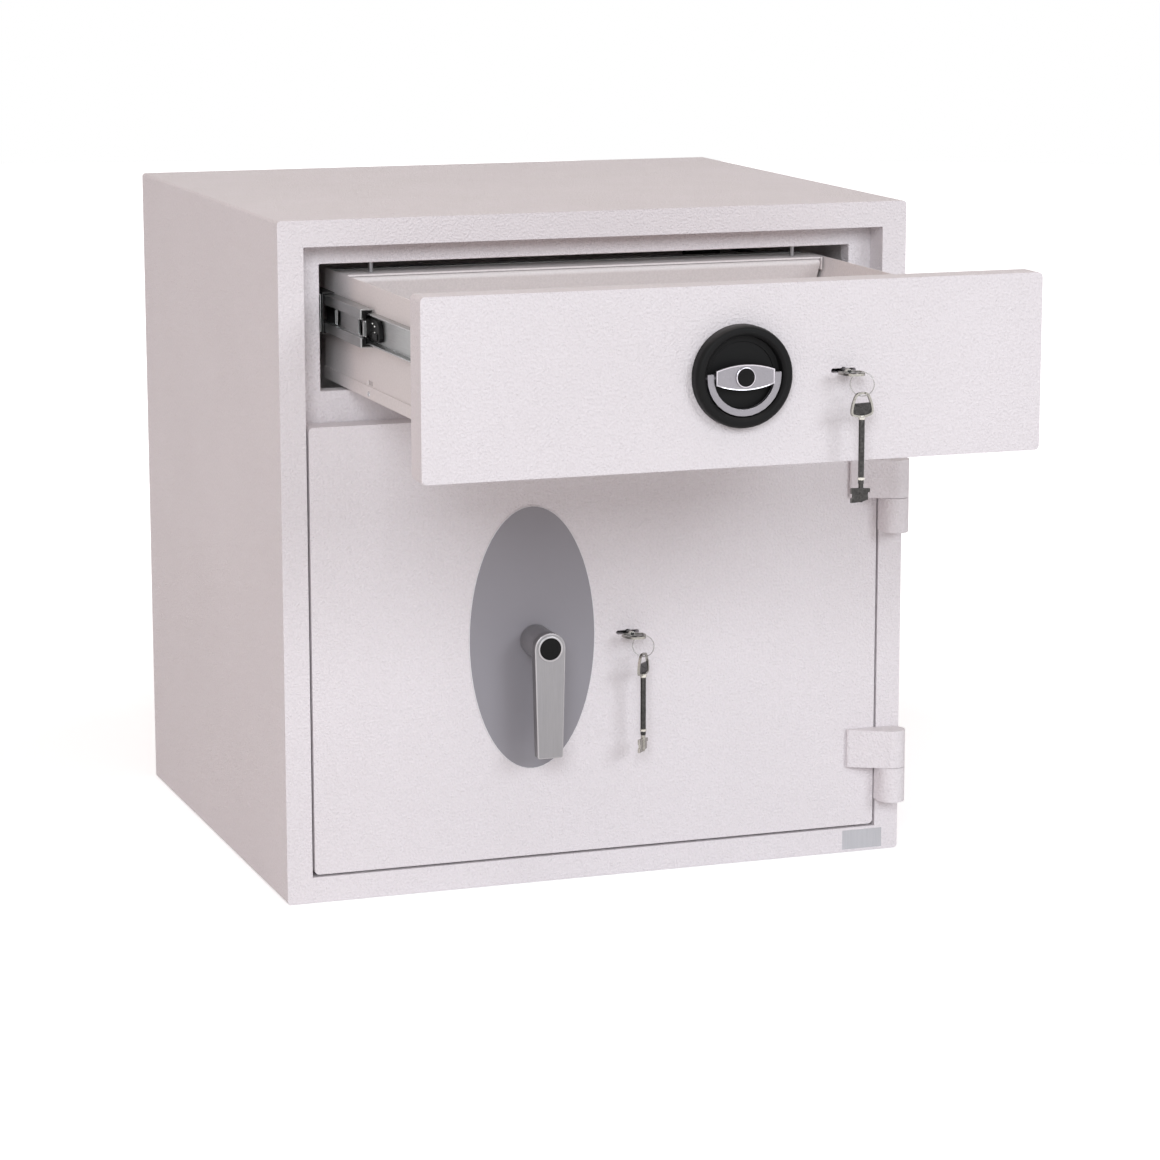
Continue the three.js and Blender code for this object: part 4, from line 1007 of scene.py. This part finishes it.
# Spare key's turn about its own length in degrees, and the finish of its bits
SPARES = {"door": (45, NICKEL), "drawer": (10, DARK_NICKEL)}


def bow_faces(bm, height):
    """Flat faces with the bow's rounded bell outline."""
    half = [Vector((x * MM, y * MM, height)) for x, y in BOW_OUTLINE]
    other = [Vector((-p.x, p.y, p.z)) for p in reversed(half)]
    face = bm.faces.new([bm.verts.new(p) for p in half + other])
    corners = [v for v in face.verts if v.co.y < BOW_CORNERS]
    bevel(bm, corners, 2.6 * MM, 4, "VERTICES")
    return bm.faces[:]


def inset_rim(bm, faces, width):
    return bmesh.ops.inset_region(
        bm, faces=faces, thickness=width, use_even_offset=True, use_boundary=True)["faces"]


def add_bow_frame(into, matrix):
    bm = bmesh.new()
    rim = inset_rim(bm, bow_faces(bm, -FRAME_THICKNESS / 2), FRAME_WIDTH)
    bmesh.ops.delete(bm, geom=[f for f in bm.faces if f not in rim], context="FACES")
    push_faces(bm, bm.faces[:], Z * FRAME_THICKNESS)
    turn_outwards(bm)
    round_edges(bm, 0.45 * MM, 3)
    join_into(into, bm, matrix)


def add_bow_plate(matrix, name, body, material):
    """Thin plate inside the frame that leaves an eye near the head for the split ring."""
    bm = bmesh.new()
    rim = inset_rim(bm, bow_faces(bm, -PLATE_THICKNESS / 2), PLATE_INSET)
    bmesh.ops.delete(bm, geom=rim, context="FACES")
    geometry = bm.verts[:] + bm.edges[:] + bm.faces[:]
    bmesh.ops.bisect_plane(
        bm, geom=geometry, plane_co=Vector((0, BOW_EYE, 0)), plane_no=-Y, clear_outer=True)
    push_faces(bm, bm.faces[:], Z * PLATE_THICKNESS)
    turn_outwards(bm)
    bmesh.ops.inset_region(
        bm, faces=[f for f in bm.faces if abs(f.normal.z) > 0.99],
        thickness=1.2 * MM, depth=-0.25 * MM, use_even_offset=True,
    )
    bm.transform(matrix)
    finish_piece(bm, name, body, material)


def add_key(node, name, matrix, bit_finish):
    """Bright bow frame and collars in one piece, the collars with a painted highlight, the darker shank
    and bow plate, and the bits.
    """
    body = body_of(node)
    cast = bmesh.new()
    # Parts joined into a mesh keep their edge marks only if it has the layer already
    edge_layer(cast)
    add_bow_frame(cast, matrix)
    for profile in COLLARS:
        collar = turned_piece(in_mm(profile), Vector(), steps=32)
        # Every face counts as edge, so the whole collar takes the painted highlight.
        mark_edges(collar, collar.faces)
        join_into(cast, collar, matrix)
    finish_piece(cast, name, body, NICKEL, (node,), 32)
    bits = bmesh.new()
    outline = [(x * MM, y * MM, -BIT_THICKNESS / 2) for x, y in BIT_OUTLINE]
    push_outline(bits, outline, Z * BIT_THICKNESS)
    turn_outwards(bits)
    round_edges(bits, 0.35 * MM, 2)
    bits.transform(matrix)
    join_into(bits, turned_piece(in_mm(TIP), Vector(), steps=32), matrix)
    finish_piece(bits, f"{name}_bits", body, bit_finish, sharp=32)
    shank = turned_piece(in_mm(SHANK), Vector(), steps=40)
    shank.transform(matrix)
    finish_piece(shank, f"{name}_shank", body, DARK_NICKEL)
    add_bow_plate(matrix, f"{name}_plate", body, DARK_NICKEL)


def add_split_ring(node, name):
    """Two close turns of spring wire with blunt ends."""
    low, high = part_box(node)
    centre, radius = (low + high) / 2, (high.z - low.z) / 2 - RING_MARGIN
    normal, sides, steps = RING_NORMAL, 12, 120
    side = normal.cross(Z).normalized()
    # The wire's first outline lies in the plane of side and normal, and the wire leaves it squarely
    turn = Matrix((side, normal, side.cross(normal))).transposed().to_4x4()
    start = centre + side * radius - normal * RING_WIRE
    bm = bmesh.new()
    outline = bmesh.ops.create_circle(
        bm, cap_ends=False, radius=RING_WIRE, segments=sides,
        matrix=Matrix.Translation(start) @ turn,
    )["verts"]
    edges = list({e for v in outline for e in v.link_edges})
    bmesh.ops.spin(
        bm, geom=outline + edges, cent=centre, axis=normal, angle=RING_SWEEP, steps=steps,
        dvec=normal * (2 * RING_WIRE / steps), use_merge=False, use_duplicate=False,
    )
    bmesh.ops.holes_fill(bm, edges=bm.edges, sides=sides + 2)
    turn_outwards(bm)
    finish_piece(bm, name, body_of(node), WIRE, (node,), 60)


def add_keys():
    for place, (spare_turn, spare_bits) in SPARES.items():
        middle = centre_of(f"{place}_key")
        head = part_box(f"{place}_key")[0].y
        in_lock = Matrix.Translation((middle.x, head + KEY_HEAD, middle.z))
        add_key(f"{place}_key", f"{place}_lock_key", in_lock, NICKEL)
        middle = centre_of(f"{place}_spare_key")
        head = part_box(f"{place}_spare_key")[1].z
        turned = Matrix.Rotation(math.radians(spare_turn), 4, "Z")
        upright = Matrix.Rotation(-math.pi / 2, 4, "X")
        hanging = Matrix.Translation((middle.x, middle.y, head - KEY_HEAD)) @ turned @ upright
        add_key(f"{place}_spare_key", f"{place}_hanging_key", hanging, spare_bits)
        add_split_ring(f"{place}_key_ring", f"{place}_split_ring")


# Bare label
LABEL_WIDTH, LABEL_HEIGHT, LABEL_THICKNESS = 47 * MM, 21.6 * MM, 0.12 * MM
LABEL_FROM_RIGHT, LABEL_FROM_BOTTOM = 19 * MM, 3 * MM


def add_label():
    """Foil label at the lower right corner of the cabinet's border."""
    low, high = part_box("outer_casing")
    right, bottom, face = high.x - LABEL_FROM_RIGHT, low.z + LABEL_FROM_BOTTOM, low.y
    corner = (right - LABEL_WIDTH, face - LABEL_THICKNESS, bottom)
    bm = bmesh.new()
    box_into(bm, corner, (right, face, bottom + LABEL_HEIGHT), 0.05 * MM)
    finish_piece(bm, "plain_label", "cabinet", LABEL_FOIL)


add_camera()
add_studio()
add_painted_sheet()
add_plain_metal()
paint_filling()
add_slides()
add_lever()
add_pull()
add_keys()
add_label()
